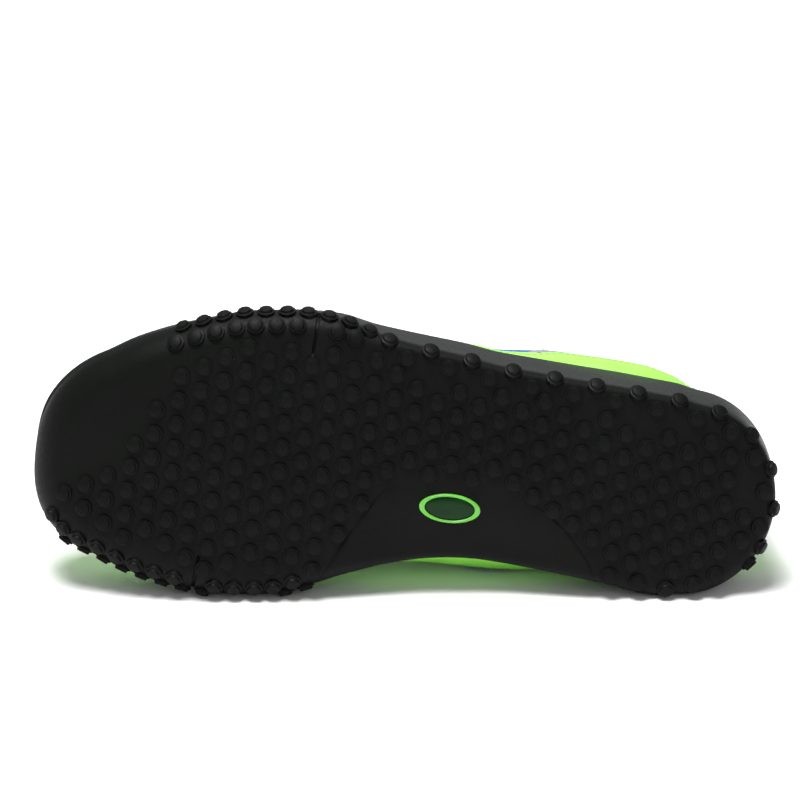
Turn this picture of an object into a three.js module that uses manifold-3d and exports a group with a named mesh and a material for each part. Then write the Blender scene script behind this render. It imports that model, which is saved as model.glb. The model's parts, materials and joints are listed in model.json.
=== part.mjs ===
// Throwing shoe for the left foot, in millimetres.
// The shoe is modelled upright: x runs from heel to toe, y to the lateral side, z up from the stud crowns.
// It is then laid on its medial side, as it lies on a floor, on the edge of its sole and on its upper.
import * as THREE from "three";
import { mergeVertices } from "three/addons/utils/BufferGeometryUtils.js";
import { ConvexHull } from "three/addons/math/ConvexHull.js";
import Module from "manifold-3d";

const wasm = await Module();
wasm.setup();

// Driving sizes of the sole
const LENGTH = 292;
const BALL_WIDTH = 116;
const HEEL_ROUND = 33;
const TOE_ROUND = 45;
const TOE_SPRING = 12;
const HEEL_BEVEL = 3;
const ARCH_RISE = 4;
const EDGE_ROLL = 10;
const ROLL_LEAST = 0.4;
const FLAT_INSET = 16;
const PLATE = 3;
const RIM_HEIGHT = 24;
const RIM_WALL = 1.8;
const CUP_WALL = 6;
const SIDE_FLARE = 2;
const FOREFOOT_BED = 8;
const HEEL_BED = 12;

// Studs, flex slits and the oval in the arch
const STUD_HEIGHT = 2;
const STUD_BASE = 7.2;
const STUD_CROWN = 5;
const STUD_PITCH = 9.6;
const STUD_SIDES = 4;
const STUD_ROOT = 1;
const STUD_INSET = { upright: 0.55, rolled: 0.2 };
const SLIT_WIDTH = 1.2;
const SLIT_LENGTH = 20;
const SLIT_DEPTH = 1.5;
const SLIT_RUNOUT = 1;
const INLAY_LENGTH = 24;
const INLAY_WIDTH = 12;
const INLAY_POCKET = 1.2;
const INLAY_PROUD = 0.4;
const INLAY_SIDES = 20;

// Driving sizes of the upper and of what it holds
const UPPER_WALL = 2;
const BAND_STEP = 0.8;
const INSTEP_HEIGHT = 80;
const COLLAR_START = 5;
const VAMP_POINT = 194;
const COLLAR_ROUND = 24;
const VAMP_ROUND = 9;
const WAIST_BULGE = 6;
const INSOLE_THICKNESS = 3;
const INSOLE_GAP = 1;
const INSOLE_EDGE = 8;
const TONGUE_THICKNESS = 3;
const LACE_WIDTH = 6;
const LACE_THICKNESS = 1.4;
const LACE_ROWS = 5;
const LACE_STEPS = 6;
const CLEARANCE = 0.3;

// How finely the curved pieces are divided
const STATIONS = 30;
const ACROSS = 3;
const OUTLINE_SAMPLES = 240;
const TONGUE_RIBS = 8;

// Where the sole's line changes, as shares of the length, with the arch's way across as a share of the width
const SPRING = { from: 0.7, power: 2.2 };
const BEVEL_TO = 0.1;
const ARCH = { start: 0.22, full: 0.38, fade: 0.46, end: 0.62, across: 0.3 };
const BED_DROP = { from: 0.3, to: 0.66 };

// Where the oval and the flex slits lie: along as a share of the length, across of the ball width
const INLAY_AT = { along: 0.437, across: -0.112 };
const FLEX_SLITS = [
  { along: 0.638, side: 1 },
  { along: 0.77, side: -1 },
];

// Plan of the tread: centre and half width are shares of the ball width, each at a share of the length.
const PLAN = [
  { at: 0.0, centre: -0.009, half: 0.314 },
  { at: 0.115, centre: -0.007, half: 0.332 },
  { at: 0.155, centre: -0.003, half: 0.347 },
  { at: 0.226, centre: 0.018, half: 0.341 },
  { at: 0.304, centre: 0.034, half: 0.338 },
  { at: 0.382, centre: 0.048, half: 0.339 },
  { at: 0.446, centre: 0.057, half: 0.356 },
  { at: 0.507, centre: 0.05, half: 0.382 },
  { at: 0.557, centre: 0.039, half: 0.416 },
  { at: 0.608, centre: 0.028, half: 0.462 },
  { at: 0.676, centre: 0.008, half: 0.5 },
  { at: 0.726, centre: -0.004, half: 0.5 },
  { at: 0.77, centre: -0.018, half: 0.48 },
  { at: 0.828, centre: -0.034, half: 0.443 },
  { at: 0.875, centre: -0.045, half: 0.405 },
  { at: 0.915, centre: -0.058, half: 0.378 },
  { at: 1.0, centre: -0.096, half: 0.372 },
];

// Side of the sole: roll is a share of the edge roll, wrap and rim of the rim height, flare of the side flare.
const LATERAL_SIDE = [
  { at: 0.0, roll: 0.45, wrap: 0.04, rim: 1.0, flare: 0.5 },
  { at: 0.1, roll: 0.35, wrap: 0.04, rim: 1.0, flare: 0.9 },
  { at: 0.3, roll: 0.3, wrap: 0.04, rim: 0.96, flare: 1.0 },
  { at: 0.5, roll: 0.35, wrap: 0.04, rim: 0.88, flare: 0.8 },
  { at: 0.6, roll: 0.7, wrap: 0.04, rim: 0.82, flare: 0.0 },
  { at: 0.7, roll: 1.0, wrap: 0.04, rim: 0.79, flare: -0.8 },
  { at: 0.85, roll: 1.1, wrap: 0.04, rim: 0.78, flare: -0.8 },
  { at: 1.0, roll: 1.3, wrap: 0.08, rim: 0.8, flare: -0.6 },
];
const MEDIAL_SIDE = [
  { at: 0.0, roll: 0.45, wrap: 0.04, rim: 1.0, flare: 0.5 },
  { at: 0.06, roll: 0.6, wrap: 0.04, rim: 0.97, flare: -1.0 },
  { at: 0.2, roll: 0.45, wrap: 0.04, rim: 0.86, flare: -1.2 },
  { at: 0.4, roll: 0.3, wrap: 0.02, rim: 0.68, flare: 0.0 },
  { at: 0.5, roll: 0.35, wrap: 0.04, rim: 0.68, flare: 0.0 },
  { at: 0.6, roll: 0.8, wrap: 0.04, rim: 0.74, flare: -0.8 },
  { at: 0.7, roll: 1.0, wrap: 0.04, rim: 0.78, flare: -1.2 },
  { at: 0.85, roll: 1.1, wrap: 0.04, rim: 0.78, flare: -1.0 },
  { at: 1.0, roll: 1.3, wrap: 0.08, rim: 0.8, flare: -0.6 },
];

// Ribs of the upper, from the rim of the sole at a share of the length up to the topline.
// top is the share of the way from collar to vamp point, mid and gap are shares of the ball width,
// rise is a share of the instep height, turn is how far the rib rolls over in degrees,
// and the bulges are shares of the waist bulge.
const RIBS = [
  { at: 0.0, top: 0.0, mid: 0.0, gap: 0.2, rise: 0.84, turn: 32, lateral: 0.1, medial: 0.1 },
  { at: 0.1, top: 0.145, mid: 0.006, gap: 0.238, rise: 0.77, turn: 32, lateral: 0.4, medial: -0.4 },
  { at: 0.2, top: 0.28, mid: -0.01, gap: 0.258, rise: 0.72, turn: 34, lateral: 1.1, medial: -0.1 },
  { at: 0.3, top: 0.415, mid: -0.03, gap: 0.262, rise: 0.79, turn: 42, lateral: 0.85, medial: 1.5 },
  { at: 0.4, top: 0.537, mid: -0.024, gap: 0.2, rise: 0.97, turn: 50, lateral: 0.35, medial: 2.0 },
  { at: 0.5, top: 0.644, mid: -0.022, gap: 0.14, rise: 0.95, turn: 58, lateral: 0.15, medial: 1.4 },
  { at: 0.6, top: 0.745, mid: -0.026, gap: 0.117, rise: 0.89, turn: 64, lateral: 0.15, medial: 0.2 },
  { at: 0.7, top: 0.835, mid: -0.03, gap: 0.104, rise: 0.825, turn: 70, lateral: 0.2, medial: -0.3 },
  { at: 0.8, top: 0.91, mid: -0.034, gap: 0.095, rise: 0.76, turn: 76, lateral: 0.2, medial: -0.2 },
  { at: 0.9, top: 0.963, mid: -0.036, gap: 0.086, rise: 0.715, turn: 82, lateral: 0.2, medial: 0.2 },
  { at: 1.0, top: 1.0, mid: -0.036, gap: 0.078, rise: 0.68, turn: 86, lateral: 0.2, medial: 0.2 },
];

// Smooth toe of the tread: it starts at a share of the length, at a share of the ball width across.
const TOE_PATCH = [
  { at: -0.28, from: 1.0 },
  { at: -0.2, from: 0.965 },
  { at: -0.09, from: 0.907 },
  { at: -0.01, from: 0.868 },
  { at: 0.07, from: 0.856 },
  { at: 0.17, from: 0.838 },
  { at: 0.39, from: 0.833 },
];

// Smooth arch of the tread: between two shares of the length, at a share of the ball width across.
const ARCH_WINDOW = [
  { at: -0.39, from: 0.226, to: 0.598 },
  { at: -0.27, from: 0.238, to: 0.577 },
  { at: -0.2, from: 0.259, to: 0.56 },
  { at: -0.134, from: 0.286, to: 0.545 },
  { at: -0.085, from: 0.313, to: 0.533 },
  { at: -0.05, from: 0.345, to: 0.522 },
  { at: -0.02, from: 0.38, to: 0.51 },
];

// Where the upper's loops lie between rim and topline, with the band's step between two close loops.
const UPPER_LOOPS = [0.12, 0.28, 0.45, 0.62, 0.78, 0.8, 1.0];
const BAND_FROM = 0.79;

// How boxy the ribs of the upper are: 1 is a circle's arc, and less is boxier.
const RIB_POWER = 0.87;

// The throat: where the first and the last row of eyelets are, as shares of a half turn, and how far up a rib.
const THROAT = { first: 0.46, last: 0.78, up: 0.9 };

// Path of a lace: its slant over the topline, its arch as a share of its span, and how it laps another.
const LACE_PATH = { slant: 0.2, arch: 0.1, lap: 0.7 };

// The tongue: where it starts and ends, as shares of the upper's stations and of a half turn,
// and its reach and crown as shares of half the throat's width.
const TONGUE = { first: 0.4, last: 0.9, reach: 1.25, crownTop: 0.34, crownEnd: 0.15 };
const TONGUE_ACROSS = [-1, -0.75, -0.4, 0, 0.4, 0.75, 1];

// The raised end of the tongue: back as a share of the length, up of the instep height.
const TONGUE_END = [
  { back: 0.028, up: 0.045 },
  { back: 0.053, up: 0.1 },
  { back: 0.074, up: 0.165 },
];

const clamp = THREE.MathUtils.clamp;
const smoothstep = THREE.MathUtils.smoothstep;
const radians = THREE.MathUtils.degToRad;

// Smooth value of a table's column between its rows, without overshoot.
function read(table, column, at) {
  const last = table.length - 1;
  const place = clamp(at, table[0].at, table[last].at);
  const rise = (j) => (table[j + 1][column] - table[j][column]) / (table[j + 1].at - table[j].at);
  const slope = (j) => {
    if (j === 0) return rise(0);
    if (j === last) return rise(last - 1);
    const before = rise(j - 1);
    const after = rise(j);
    return before * after > 0 ? (2 * before * after) / (before + after) : 0;
  };
  const i = Math.min(table.findLastIndex((row) => row.at <= place), last - 1);
  const span = table[i + 1].at - table[i].at;
  const t = (place - table[i].at) / span;
  return (
    table[i][column] * (1 + 2 * t) * (1 - t) ** 2 +
    slope(i) * span * t * (1 - t) ** 2 +
    table[i + 1][column] * t ** 2 * (3 - 2 * t) +
    slope(i + 1) * span * t ** 2 * (t - 1)
  );
}

// How much of its width a form keeps near a round end.
function roundEnd(distance, radius, power = 2) {
  return distance < radius ? Math.max(0, 1 - (1 - distance / radius) ** power) ** (1 / power) : 1;
}

// The outline of the tread, once round: 0 at the heel, a half turn at the toe, lateral side first.
function outline(turn) {
  const x = (LENGTH / 2) * (1 - Math.cos(turn));
  const side = Math.sin(turn) >= 0 ? 1 : -1;
  const half = read(PLAN, "half", x / LENGTH) * BALL_WIDTH;
  const ends = roundEnd(x, HEEL_ROUND) * roundEnd(LENGTH - x, TOE_ROUND, 2.4);
  return new THREE.Vector2(x, read(PLAN, "centre", x / LENGTH) * BALL_WIDTH + side * half * ends);
}

// The direction in plan from the outline to the inside of the shoe.
function inward(turn) {
  const step = 0.01;
  const along = outline(turn + step).sub(outline(turn - step)).normalize();
  return new THREE.Vector2(along.y, -along.x);
}

const insetPoint = (turn, inset) => outline(turn).addScaledVector(inward(turn), inset);
const stationOf = (turn) => (1 - Math.cos(turn)) / 2;
const sideValue = (turn, column) =>
  read(Math.sin(turn) >= 0 ? LATERAL_SIDE : MEDIAL_SIDE, column, stationOf(turn));

// Height of the line of the sole over the floor: toe spring and the bevel of the heel.
function lift(x) {
  const toe = clamp((x / LENGTH - SPRING.from) / (1 - SPRING.from), 0, 1.1);
  const heel = clamp(1 - x / LENGTH / BEVEL_TO, 0, 1);
  return TOE_SPRING * toe ** SPRING.power + HEEL_BEVEL * heel ** 2;
}

// Height of the tread's face without its rolled edges, with the arch on the medial side.
function ground(x, y) {
  const share = x / LENGTH;
  const along = smoothstep(share, ARCH.start, ARCH.full) * (1 - smoothstep(share, ARCH.fade, ARCH.end));
  const across = smoothstep(-y / BALL_WIDTH, 0, ARCH.across);
  return STUD_HEIGHT + lift(x) + ARCH_RISE * along * across;
}

// The floor that the foot's insole lies on.
function bed(x) {
  const share = x / LENGTH;
  const height = HEEL_BED + (FOREFOOT_BED - HEEL_BED) * smoothstep(share, BED_DROP.from, BED_DROP.to);
  return STUD_HEIGHT + height + lift(x);
}

const rimHeight = (turn, x) => STUD_HEIGHT + lift(x) + sideValue(turn, "rim") * RIM_HEIGHT;
const flareAt = (turn) => sideValue(turn, "flare") * SIDE_FLARE;

// The turns round the outline at which every curved piece has a point.
const TURNS = Array.from({ length: 2 * STATIONS }, (_, i) => (i * Math.PI) / STATIONS);

// A closed solid through loops of equal count. A ring joins its last loop to its first.
// Otherwise each end is filled across from side to side, at the height that its surface gives.
// A quad is split along its shorter diagonal, so that two skins close together are split alike.
function skin(loops, { ring = false, across = 1, surfaces = [null, null] } = {}) {
  const count = loops[0].length;
  const points = loops.flat().map((p) => p.clone());
  const faces = [];
  const spans = ring ? loops.length : loops.length - 1;
  for (let a = 0; a < spans; a++) {
    const b = (a + 1) % loops.length;
    for (let k = 0; k < count; k++) {
      const next = (k + 1) % count;
      const [p, q, r, s] = [a * count + k, a * count + next, b * count + next, b * count + k];
      if (points[p].distanceTo(points[r]) < points[q].distanceTo(points[s])) faces.push([p, q, r], [p, r, s]);
      else faces.push([p, q, s], [q, r, s]);
    }
  }
  const fill = (start, surface, reversed) => {
    const half = count / 2;
    const rows = [];
    for (let i = 1; i < half; i++) {
      const row = [start + i];
      for (let c = 1; c < across; c++) {
        const p = points[start + i].clone().lerp(points[start + count - i], c / across);
        if (surface) p.z = surface(p.x, p.y);
        row.push(points.push(p) - 1);
      }
      row.push(start + count - i);
      rows.push(row);
    }
    const add = (p, q, r) => faces.push(reversed ? [r, q, p] : [p, q, r]);
    const first = rows[0];
    const final = rows[rows.length - 1];
    for (let c = 0; c < across; c++) {
      add(start, first[c], first[c + 1]);
      add(final[c + 1], final[c], start + half);
    }
    for (let i = 0; i + 1 < rows.length; i++) {
      for (let c = 0; c < across; c++) {
        add(rows[i][c], rows[i + 1][c], rows[i + 1][c + 1]);
        add(rows[i][c], rows[i + 1][c + 1], rows[i][c + 1]);
      }
    }
  };
  if (!ring) {
    fill(0, surfaces[0], true);
    fill((loops.length - 1) * count, surfaces[1], false);
  }
  return geometryOf(points.flatMap((p) => [p.x, p.y, p.z]), faces.flat());
}

// A geometry from flat lists, turned so that its faces point out.
function geometryOf(positions, indices) {
  const corner = (i) => new THREE.Vector3().fromArray(positions, 3 * indices[i]);
  let volume = 0;
  for (let i = 0; i < indices.length; i += 3) volume += corner(i).dot(corner(i + 1).cross(corner(i + 2)));
  const index = volume < 0 ? indices.toReversed() : indices;
  const geometry = new THREE.BufferGeometry();
  geometry.setAttribute("position", new THREE.Float32BufferAttribute(positions, 3));
  geometry.setIndex(Array.from(index));
  return geometry;
}

function solidOf(geometry) {
  const bare = geometry.clone();
  bare.deleteAttribute("normal");
  bare.deleteAttribute("uv");
  const merged = mergeVertices(bare, 1e-4);
  return new wasm.Manifold(
    new wasm.Mesh({
      numProp: 3,
      vertProperties: new Float32Array(merged.attributes.position.array),
      triVerts: new Uint32Array(merged.index.array),
    }),
  );
}

function geometryFrom(solid) {
  const mesh = solid.getMesh();
  return geometryOf(Array.from(mesh.vertProperties), Array.from(mesh.triVerts));
}

// A point of the rolled edge: depth is how far it lies under the tread's face, angle 0 is flat and 90 upright.
function rolledPoint(turn, angle, depth) {
  const roll = Math.max(sideValue(turn, "roll") * EDGE_ROLL, depth + ROLL_LEAST);
  const inset = roll - (roll - depth) * Math.sin(radians(angle));
  const plan = insetPoint(turn, inset);
  const rise = roll - (roll - depth) * Math.cos(radians(angle));
  return new THREE.Vector3(plan.x, plan.y, ground(plan.x, plan.y) + rise);
}

// A point of the sole's side above the roll, at the height where tread and sidewall meet.
function lipPoint(turn, inset, extra) {
  const plan = insetPoint(turn, inset);
  const rise = sideValue(turn, "roll") * EDGE_ROLL + sideValue(turn, "wrap") * RIM_HEIGHT + extra;
  return new THREE.Vector3(plan.x, plan.y, ground(plan.x, plan.y) + rise);
}

function rimPoint(turn, inset) {
  const plan = insetPoint(turn, inset - flareAt(turn));
  return new THREE.Vector3(plan.x, plan.y, rimHeight(turn, plan.x));
}

function bedPoint(turn, inset, height) {
  const plan = insetPoint(turn, inset);
  return new THREE.Vector3(plan.x, plan.y, bed(plan.x) + height);
}

const loop = (make) => TURNS.map(make);

// Height of the tread's face at a point in plan, rolled edges included, and how far inside the edge it is.
const EDGE = Array.from({ length: OUTLINE_SAMPLES }, (_, i) => {
  const turn = (i * 2 * Math.PI) / OUTLINE_SAMPLES;
  return { turn, point: outline(turn) };
});
function treadAt(x, y) {
  const here = new THREE.Vector2(x, y);
  const nearest = EDGE.reduce((best, e) => (e.point.distanceTo(here) < best.point.distanceTo(here) ? e : best));
  const offset = here.clone().sub(nearest.point);
  const inset = offset.dot(inward(nearest.turn));
  const roll = sideValue(nearest.turn, "roll") * EDGE_ROLL;
  const over = clamp(roll - inset, 0, roll * 0.999);
  return { inset, roll, z: ground(x, y) + roll - Math.sqrt(roll ** 2 - over ** 2) };
}

// Places a shape whose +y points out of the tread on the tread's face.
function onTread(geometry, x, y) {
  const step = 0.5;
  const slopeX = (treadAt(x + step, y).z - treadAt(x - step, y).z) / (2 * step);
  const slopeY = (treadAt(x, y + step).z - treadAt(x, y - step).z) / (2 * step);
  const out = new THREE.Vector3(slopeX, slopeY, -1).normalize();
  const turned = new THREE.Quaternion().setFromUnitVectors(new THREE.Vector3(0, 1, 0), out);
  const place = new THREE.Vector3(x, y, treadAt(x, y).z);
  return geometry.applyMatrix4(new THREE.Matrix4().compose(place, turned, new THREE.Vector3(1, 1, 1)));
}

function inToePatch(x, y) {
  const across = y / BALL_WIDTH;
  return across > TOE_PATCH[0].at && x / LENGTH > read(TOE_PATCH, "from", across);
}

function inArchWindow(x, y) {
  const across = y / BALL_WIDTH;
  const share = x / LENGTH;
  const margin = STUD_BASE / 2 / LENGTH;
  if (across > ARCH_WINDOW[ARCH_WINDOW.length - 1].at) return false;
  const low = read(ARCH_WINDOW, "from", across) - margin;
  return share > low && share < read(ARCH_WINDOW, "to", across) + margin;
}

// Stud centres: columns across the sole, every other one shifted by half a pitch.
function studPlaces() {
  const places = [];
  const column = (STUD_PITCH * Math.sqrt(3)) / 2;
  const most = Math.ceil(BALL_WIDTH / STUD_PITCH / 2) + 1;
  for (let k = 0; k * column < LENGTH; k++) {
    for (let j = -most; j <= most; j++) {
      const x = (k + 0.5) * column;
      const y = (j + (k % 2) / 2) * STUD_PITCH;
      const { inset, roll } = treadAt(x, y);
      const { upright, rolled } = STUD_INSET;
      const nearest = (roll > EDGE_ROLL / 2 ? rolled : upright) * STUD_BASE;
      if (inset > nearest && !inToePatch(x, y) && !inArchWindow(x, y)) places.push([x, y]);
    }
  }
  return places;
}

function stud([x, y]) {
  const level = (height, width) =>
    Array.from({ length: STUD_SIDES }, (_, i) => {
      const corner = ((i + 0.5) * 2 * Math.PI) / STUD_SIDES;
      return new THREE.Vector3((Math.cos(corner) * width) / 2, height, (Math.sin(corner) * width) / 2);
    });
  return onTread(skin([level(-STUD_ROOT, STUD_BASE), level(STUD_HEIGHT, STUD_CROWN)]), x, y);
}

// An oval disc or its pocket in the arch, from one height over the tread's face to another.
function oval(low, high, grow) {
  const shape = new THREE.CylinderGeometry(0.5, 0.5, high - low, INLAY_SIDES);
  shape.translate(0, (low + high) / 2, 0).scale(INLAY_LENGTH + 2 * grow, 1, INLAY_WIDTH + 2 * grow);
  return onTread(shape, INLAY_AT.along * LENGTH, INLAY_AT.across * BALL_WIDTH);
}

function flexSlit({ along, side }) {
  const x = along * LENGTH;
  const reach = (read(PLAN, "half", along) + read(PLAN, "centre", along) * side) * BALL_WIDTH;
  const box = new THREE.BoxGeometry(SLIT_WIDTH, SLIT_LENGTH, STUD_HEIGHT + SLIT_DEPTH);
  const y = side * (reach - SLIT_LENGTH / 2 + SLIT_RUNOUT);
  return box.translate(x, y, lift(x) + (STUD_HEIGHT + SLIT_DEPTH) / 2);
}

function outsole() {
  const face = (x, y) => ground(x, y);
  const inner = (x, y) => ground(x, y) + PLATE;
  const level = (height) => (turn) => {
    const plan = insetPoint(turn, FLAT_INSET);
    return new THREE.Vector3(plan.x, plan.y, ground(plan.x, plan.y) + height);
  };
  const loops = [
    loop(level(0)),
    ...[0, 30, 60, 90].map((angle) => loop((turn) => rolledPoint(turn, angle, 0))),
    loop((turn) => lipPoint(turn, 0, 0)),
    loop((turn) => lipPoint(turn, PLATE, 0)),
    ...[90, 45, 0].map((angle) => loop((turn) => rolledPoint(turn, angle, PLATE))),
    loop(level(PLATE)),
  ];
  const plate = solidOf(skin(loops, { across: ACROSS, surfaces: [face, inner] }));
  const studs = studPlaces().map((place) => solidOf(stud(place)));
  const slits = FLEX_SLITS.map((place) => solidOf(flexSlit(place)));
  const pocket = solidOf(oval(-INLAY_POCKET, STUD_HEIGHT, CLEARANCE));
  const studded = studs.reduce((sum, one) => sum.add(one), plate);
  return geometryFrom([...slits, pocket].reduce((rest, cut) => rest.subtract(cut), studded));
}

function midsole() {
  const depth = PLATE + CLEARANCE;
  const under = (x, y) => ground(x, y) + depth;
  const level = (turn) => {
    const plan = insetPoint(turn, FLAT_INSET);
    return new THREE.Vector3(plan.x, plan.y, under(plan.x, plan.y));
  };
  const loops = [
    loop(level),
    ...[0, 45, 90].map((angle) => loop((turn) => rolledPoint(turn, angle, depth))),
    loop((turn) => lipPoint(turn, depth, CLEARANCE)),
    loop((turn) => lipPoint(turn, 0, CLEARANCE)),
    loop((turn) => rimPoint(turn, 0)),
    loop((turn) => rimPoint(turn, RIM_WALL)),
    loop((turn) => bedPoint(turn, CUP_WALL, 0)),
    loop((turn) => bedPoint(turn, FLAT_INSET, 0)),
  ];
  return skin(loops, { across: ACROSS, surfaces: [under, (x) => bed(x)] });
}

// The topline of the upper: collar and throat opening, at the same turns as the outline.
function topline(turn) {
  const at = stationOf(turn);
  const x = COLLAR_START + (VAMP_POINT - COLLAR_START) * read(RIBS, "top", at);
  const side = Math.sin(turn) >= 0 ? 1 : -1;
  const ends = roundEnd(x - COLLAR_START, COLLAR_ROUND) * roundEnd(VAMP_POINT - x, VAMP_ROUND);
  const y = (read(RIBS, "mid", at) + side * read(RIBS, "gap", at) * ends) * BALL_WIDTH;
  return new THREE.Vector3(x, y, read(RIBS, "rise", at) * INSTEP_HEIGHT);
}

// A point of the upper's outer face: 0 is at the rim of the sole, 1 at the topline.
// A negative turn runs along the medial side.
function upperPoint(turn, share) {
  const low = rimPoint(turn, RIM_WALL + 3 * CLEARANCE);
  const high = topline(turn);
  const at = stationOf(turn);
  const full = radians(read(RIBS, "turn", at));
  const angle = share * full;
  const over = (1 - Math.cos(angle) ** RIB_POWER) / (1 - Math.cos(full) ** RIB_POWER);
  const up = (Math.sin(angle) / Math.sin(full)) ** RIB_POWER;
  const bulge = read(RIBS, Math.sin(turn) >= 0 ? "lateral" : "medial", at) * WAIST_BULGE;
  const out = inward(turn).multiplyScalar(-bulge * Math.sin(Math.PI * share ** 0.5));
  return new THREE.Vector3(
    THREE.MathUtils.lerp(low.x, high.x, over) + out.x,
    THREE.MathUtils.lerp(low.y, high.y, over) + out.y,
    THREE.MathUtils.lerp(low.z, high.z, up),
  );
}

// The outward normal of the upper's face.
function upperNormal(turn, share) {
  const step = 0.02;
  const along = upperPoint(turn + step, share).sub(upperPoint(turn - step, share));
  const low = Math.max(0, share - step);
  const rib = upperPoint(turn, Math.min(1, share + step)).sub(upperPoint(turn, low));
  return rib.cross(along).normalize();
}

// A point of the upper, moved out of its face by some distance.
const upperOff = (turn, share, distance) =>
  upperPoint(turn, share).addScaledVector(upperNormal(turn, share), distance);

function upper() {
  const inner = (turn) => bedPoint(turn, CUP_WALL + CLEARANCE + UPPER_WALL, CLEARANCE);
  const step = (share) => (share > BAND_FROM ? BAND_STEP : 0);
  const inside = [0, ...UPPER_LOOPS.filter((share) => share < BAND_FROM || share === 1)].toReversed();
  const loops = [
    loop((turn) => bedPoint(turn, CUP_WALL + 2 * CLEARANCE, CLEARANCE)),
    loop((turn) => upperPoint(turn, 0)),
    ...UPPER_LOOPS.map((share) => loop((turn) => upperOff(turn, share, step(share)))),
    ...inside.map((share) => loop((turn) => upperOff(turn, share, -UPPER_WALL))),
    loop(inner),
  ];
  return skin(loops, { ring: true });
}

function insole() {
  const edge = CUP_WALL + 2 * CLEARANCE + UPPER_WALL;
  const flat = edge + INSOLE_EDGE;
  const top = CLEARANCE + INSOLE_THICKNESS;
  const loops = [
    loop((turn) => bedPoint(turn, flat, CLEARANCE)),
    loop((turn) => bedPoint(turn, edge + INSOLE_GAP, CLEARANCE)),
    loop((turn) => bedPoint(turn, edge + INSOLE_GAP, top)),
    loop((turn) => bedPoint(turn, flat, top)),
  ];
  return skin(loops, { surfaces: [(x) => bed(x) + CLEARANCE, (x) => bed(x) + top] });
}

// A rib of the tongue across the throat, at a depth under a crowned line between the sides of the topline.
// Its reach says how far it goes to each side, where 1 is the topline.
function tongueRib(turn, crowning, depth, { reach, shift }) {
  const left = topline(turn);
  const right = topline(2 * Math.PI - turn);
  const middle = left.clone().lerp(right, 0.5);
  const half = left.distanceTo(right) / 2;
  return TONGUE_ACROSS.map((across) => {
    const v = across * reach;
    const p = middle.clone().addScaledVector(left.clone().sub(middle), v);
    const out = new THREE.Vector3(0, 3 * crowning * v * Math.abs(v), 1).normalize();
    p.z += crowning * half * (1 - Math.abs(v) ** 3);
    return p.addScaledVector(out, -depth).add(shift);
  });
}

function tongue() {
  const depth = UPPER_WALL + 6 * CLEARANCE;
  const first = Math.acos(1 - 2 * TONGUE.first);
  const last = TONGUE.last * Math.PI;
  const still = new THREE.Vector3();
  const rows = Array.from({ length: TONGUE_RIBS + 1 }, (_, i) => {
    return { share: i / TONGUE_RIBS, reach: TONGUE.reach, shift: still };
  });
  for (const { back, up } of TONGUE_END) {
    const shift = new THREE.Vector3(-back * LENGTH, 0, up * INSTEP_HEIGHT);
    rows.unshift({ share: 0, reach: 1, shift });
  }
  const loops = rows.map((row) => {
    const { share } = row;
    const turn = THREE.MathUtils.lerp(first, last, share);
    const crowning = THREE.MathUtils.lerp(TONGUE.crownTop, TONGUE.crownEnd, share ** 0.5);
    return [
      ...tongueRib(turn, crowning, depth, row),
      ...tongueRib(turn, crowning, depth + TONGUE_THICKNESS, row).reverse(),
    ];
  });
  return skin(loops);
}

// The turn round the outline at which a row of eyelets lies, counted from the collar.
const eyeletTurn = (row) => Math.PI * THREE.MathUtils.lerp(THROAT.first, THROAT.last, row / (LACE_ROWS - 1));

// A flat lace from a lateral eyelet over the throat to a medial one, bent over both edges of the topline.
// Where two cross, the one that lies over the other is raised.
function laceArm(start, end, raised = 0) {
  const seat = BAND_STEP + 2 * CLEARANCE + LACE_THICKNESS / 2;
  const bend = (from, to, side, share) => {
    const turn = THREE.MathUtils.lerp(from, to, LACE_PATH.slant * share);
    return upperOff(side * turn, THREE.MathUtils.lerp(THROAT.up, 1, share), seat + share * CLEARANCE);
  };
  const rising = [0, 0.5, 1].map((share) => bend(start, end, 1, share));
  const falling = [1, 0.5, 0].map((share) => bend(end, start, -1, share));
  const top = rising[2].clone().lerp(falling[0], 0.5);
  top.z += LACE_PATH.arch * rising[2].distanceTo(falling[0]) + raised;
  const path = new THREE.CatmullRomCurve3([...rising, top, ...falling]);
  const run = topline(eyeletTurn(LACE_ROWS - 1)).sub(topline(eyeletTurn(0))).setY(0).normalize();
  const loops = [];
  for (let i = 0; i <= LACE_STEPS; i++) {
    const middle = path.getPointAt(i / LACE_STEPS);
    const along = path.getTangentAt(i / LACE_STEPS);
    const side = run.clone().addScaledVector(along, -along.dot(run)).normalize();
    const up = side.clone().cross(along).normalize();
    const corner = (a, b) =>
      middle.clone().addScaledVector(side, (a * LACE_WIDTH) / 2).addScaledVector(up, (b * LACE_THICKNESS) / 2);
    loops.push([corner(-1, -1), corner(1, -1), corner(1, 1), corner(-1, 1)]);
  }
  return solidOf(skin(loops));
}

function laces() {
  const arms = [];
  for (let k = 0; k + 1 < LACE_ROWS; k++) {
    arms.push(laceArm(eyeletTurn(k), eyeletTurn(k + 1)));
    arms.push(laceArm(eyeletTurn(k + 1), eyeletTurn(k), LACE_PATH.lap * LACE_THICKNESS));
  }
  arms.push(laceArm(eyeletTurn(LACE_ROWS - 1), eyeletTurn(LACE_ROWS - 1)));
  // The crossings enclose a tiny pocket of air, which is left solid.
  const bodies = arms.reduce((sum, arm) => sum.add(arm)).decompose();
  return geometryFrom(bodies.reduce((most, body) => (body.volume() > most.volume() ? body : most)));
}

const archInlay = () => geometryFrom(solidOf(oval(-INLAY_POCKET + CLEARANCE, INLAY_PROUD, 0)));

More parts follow.
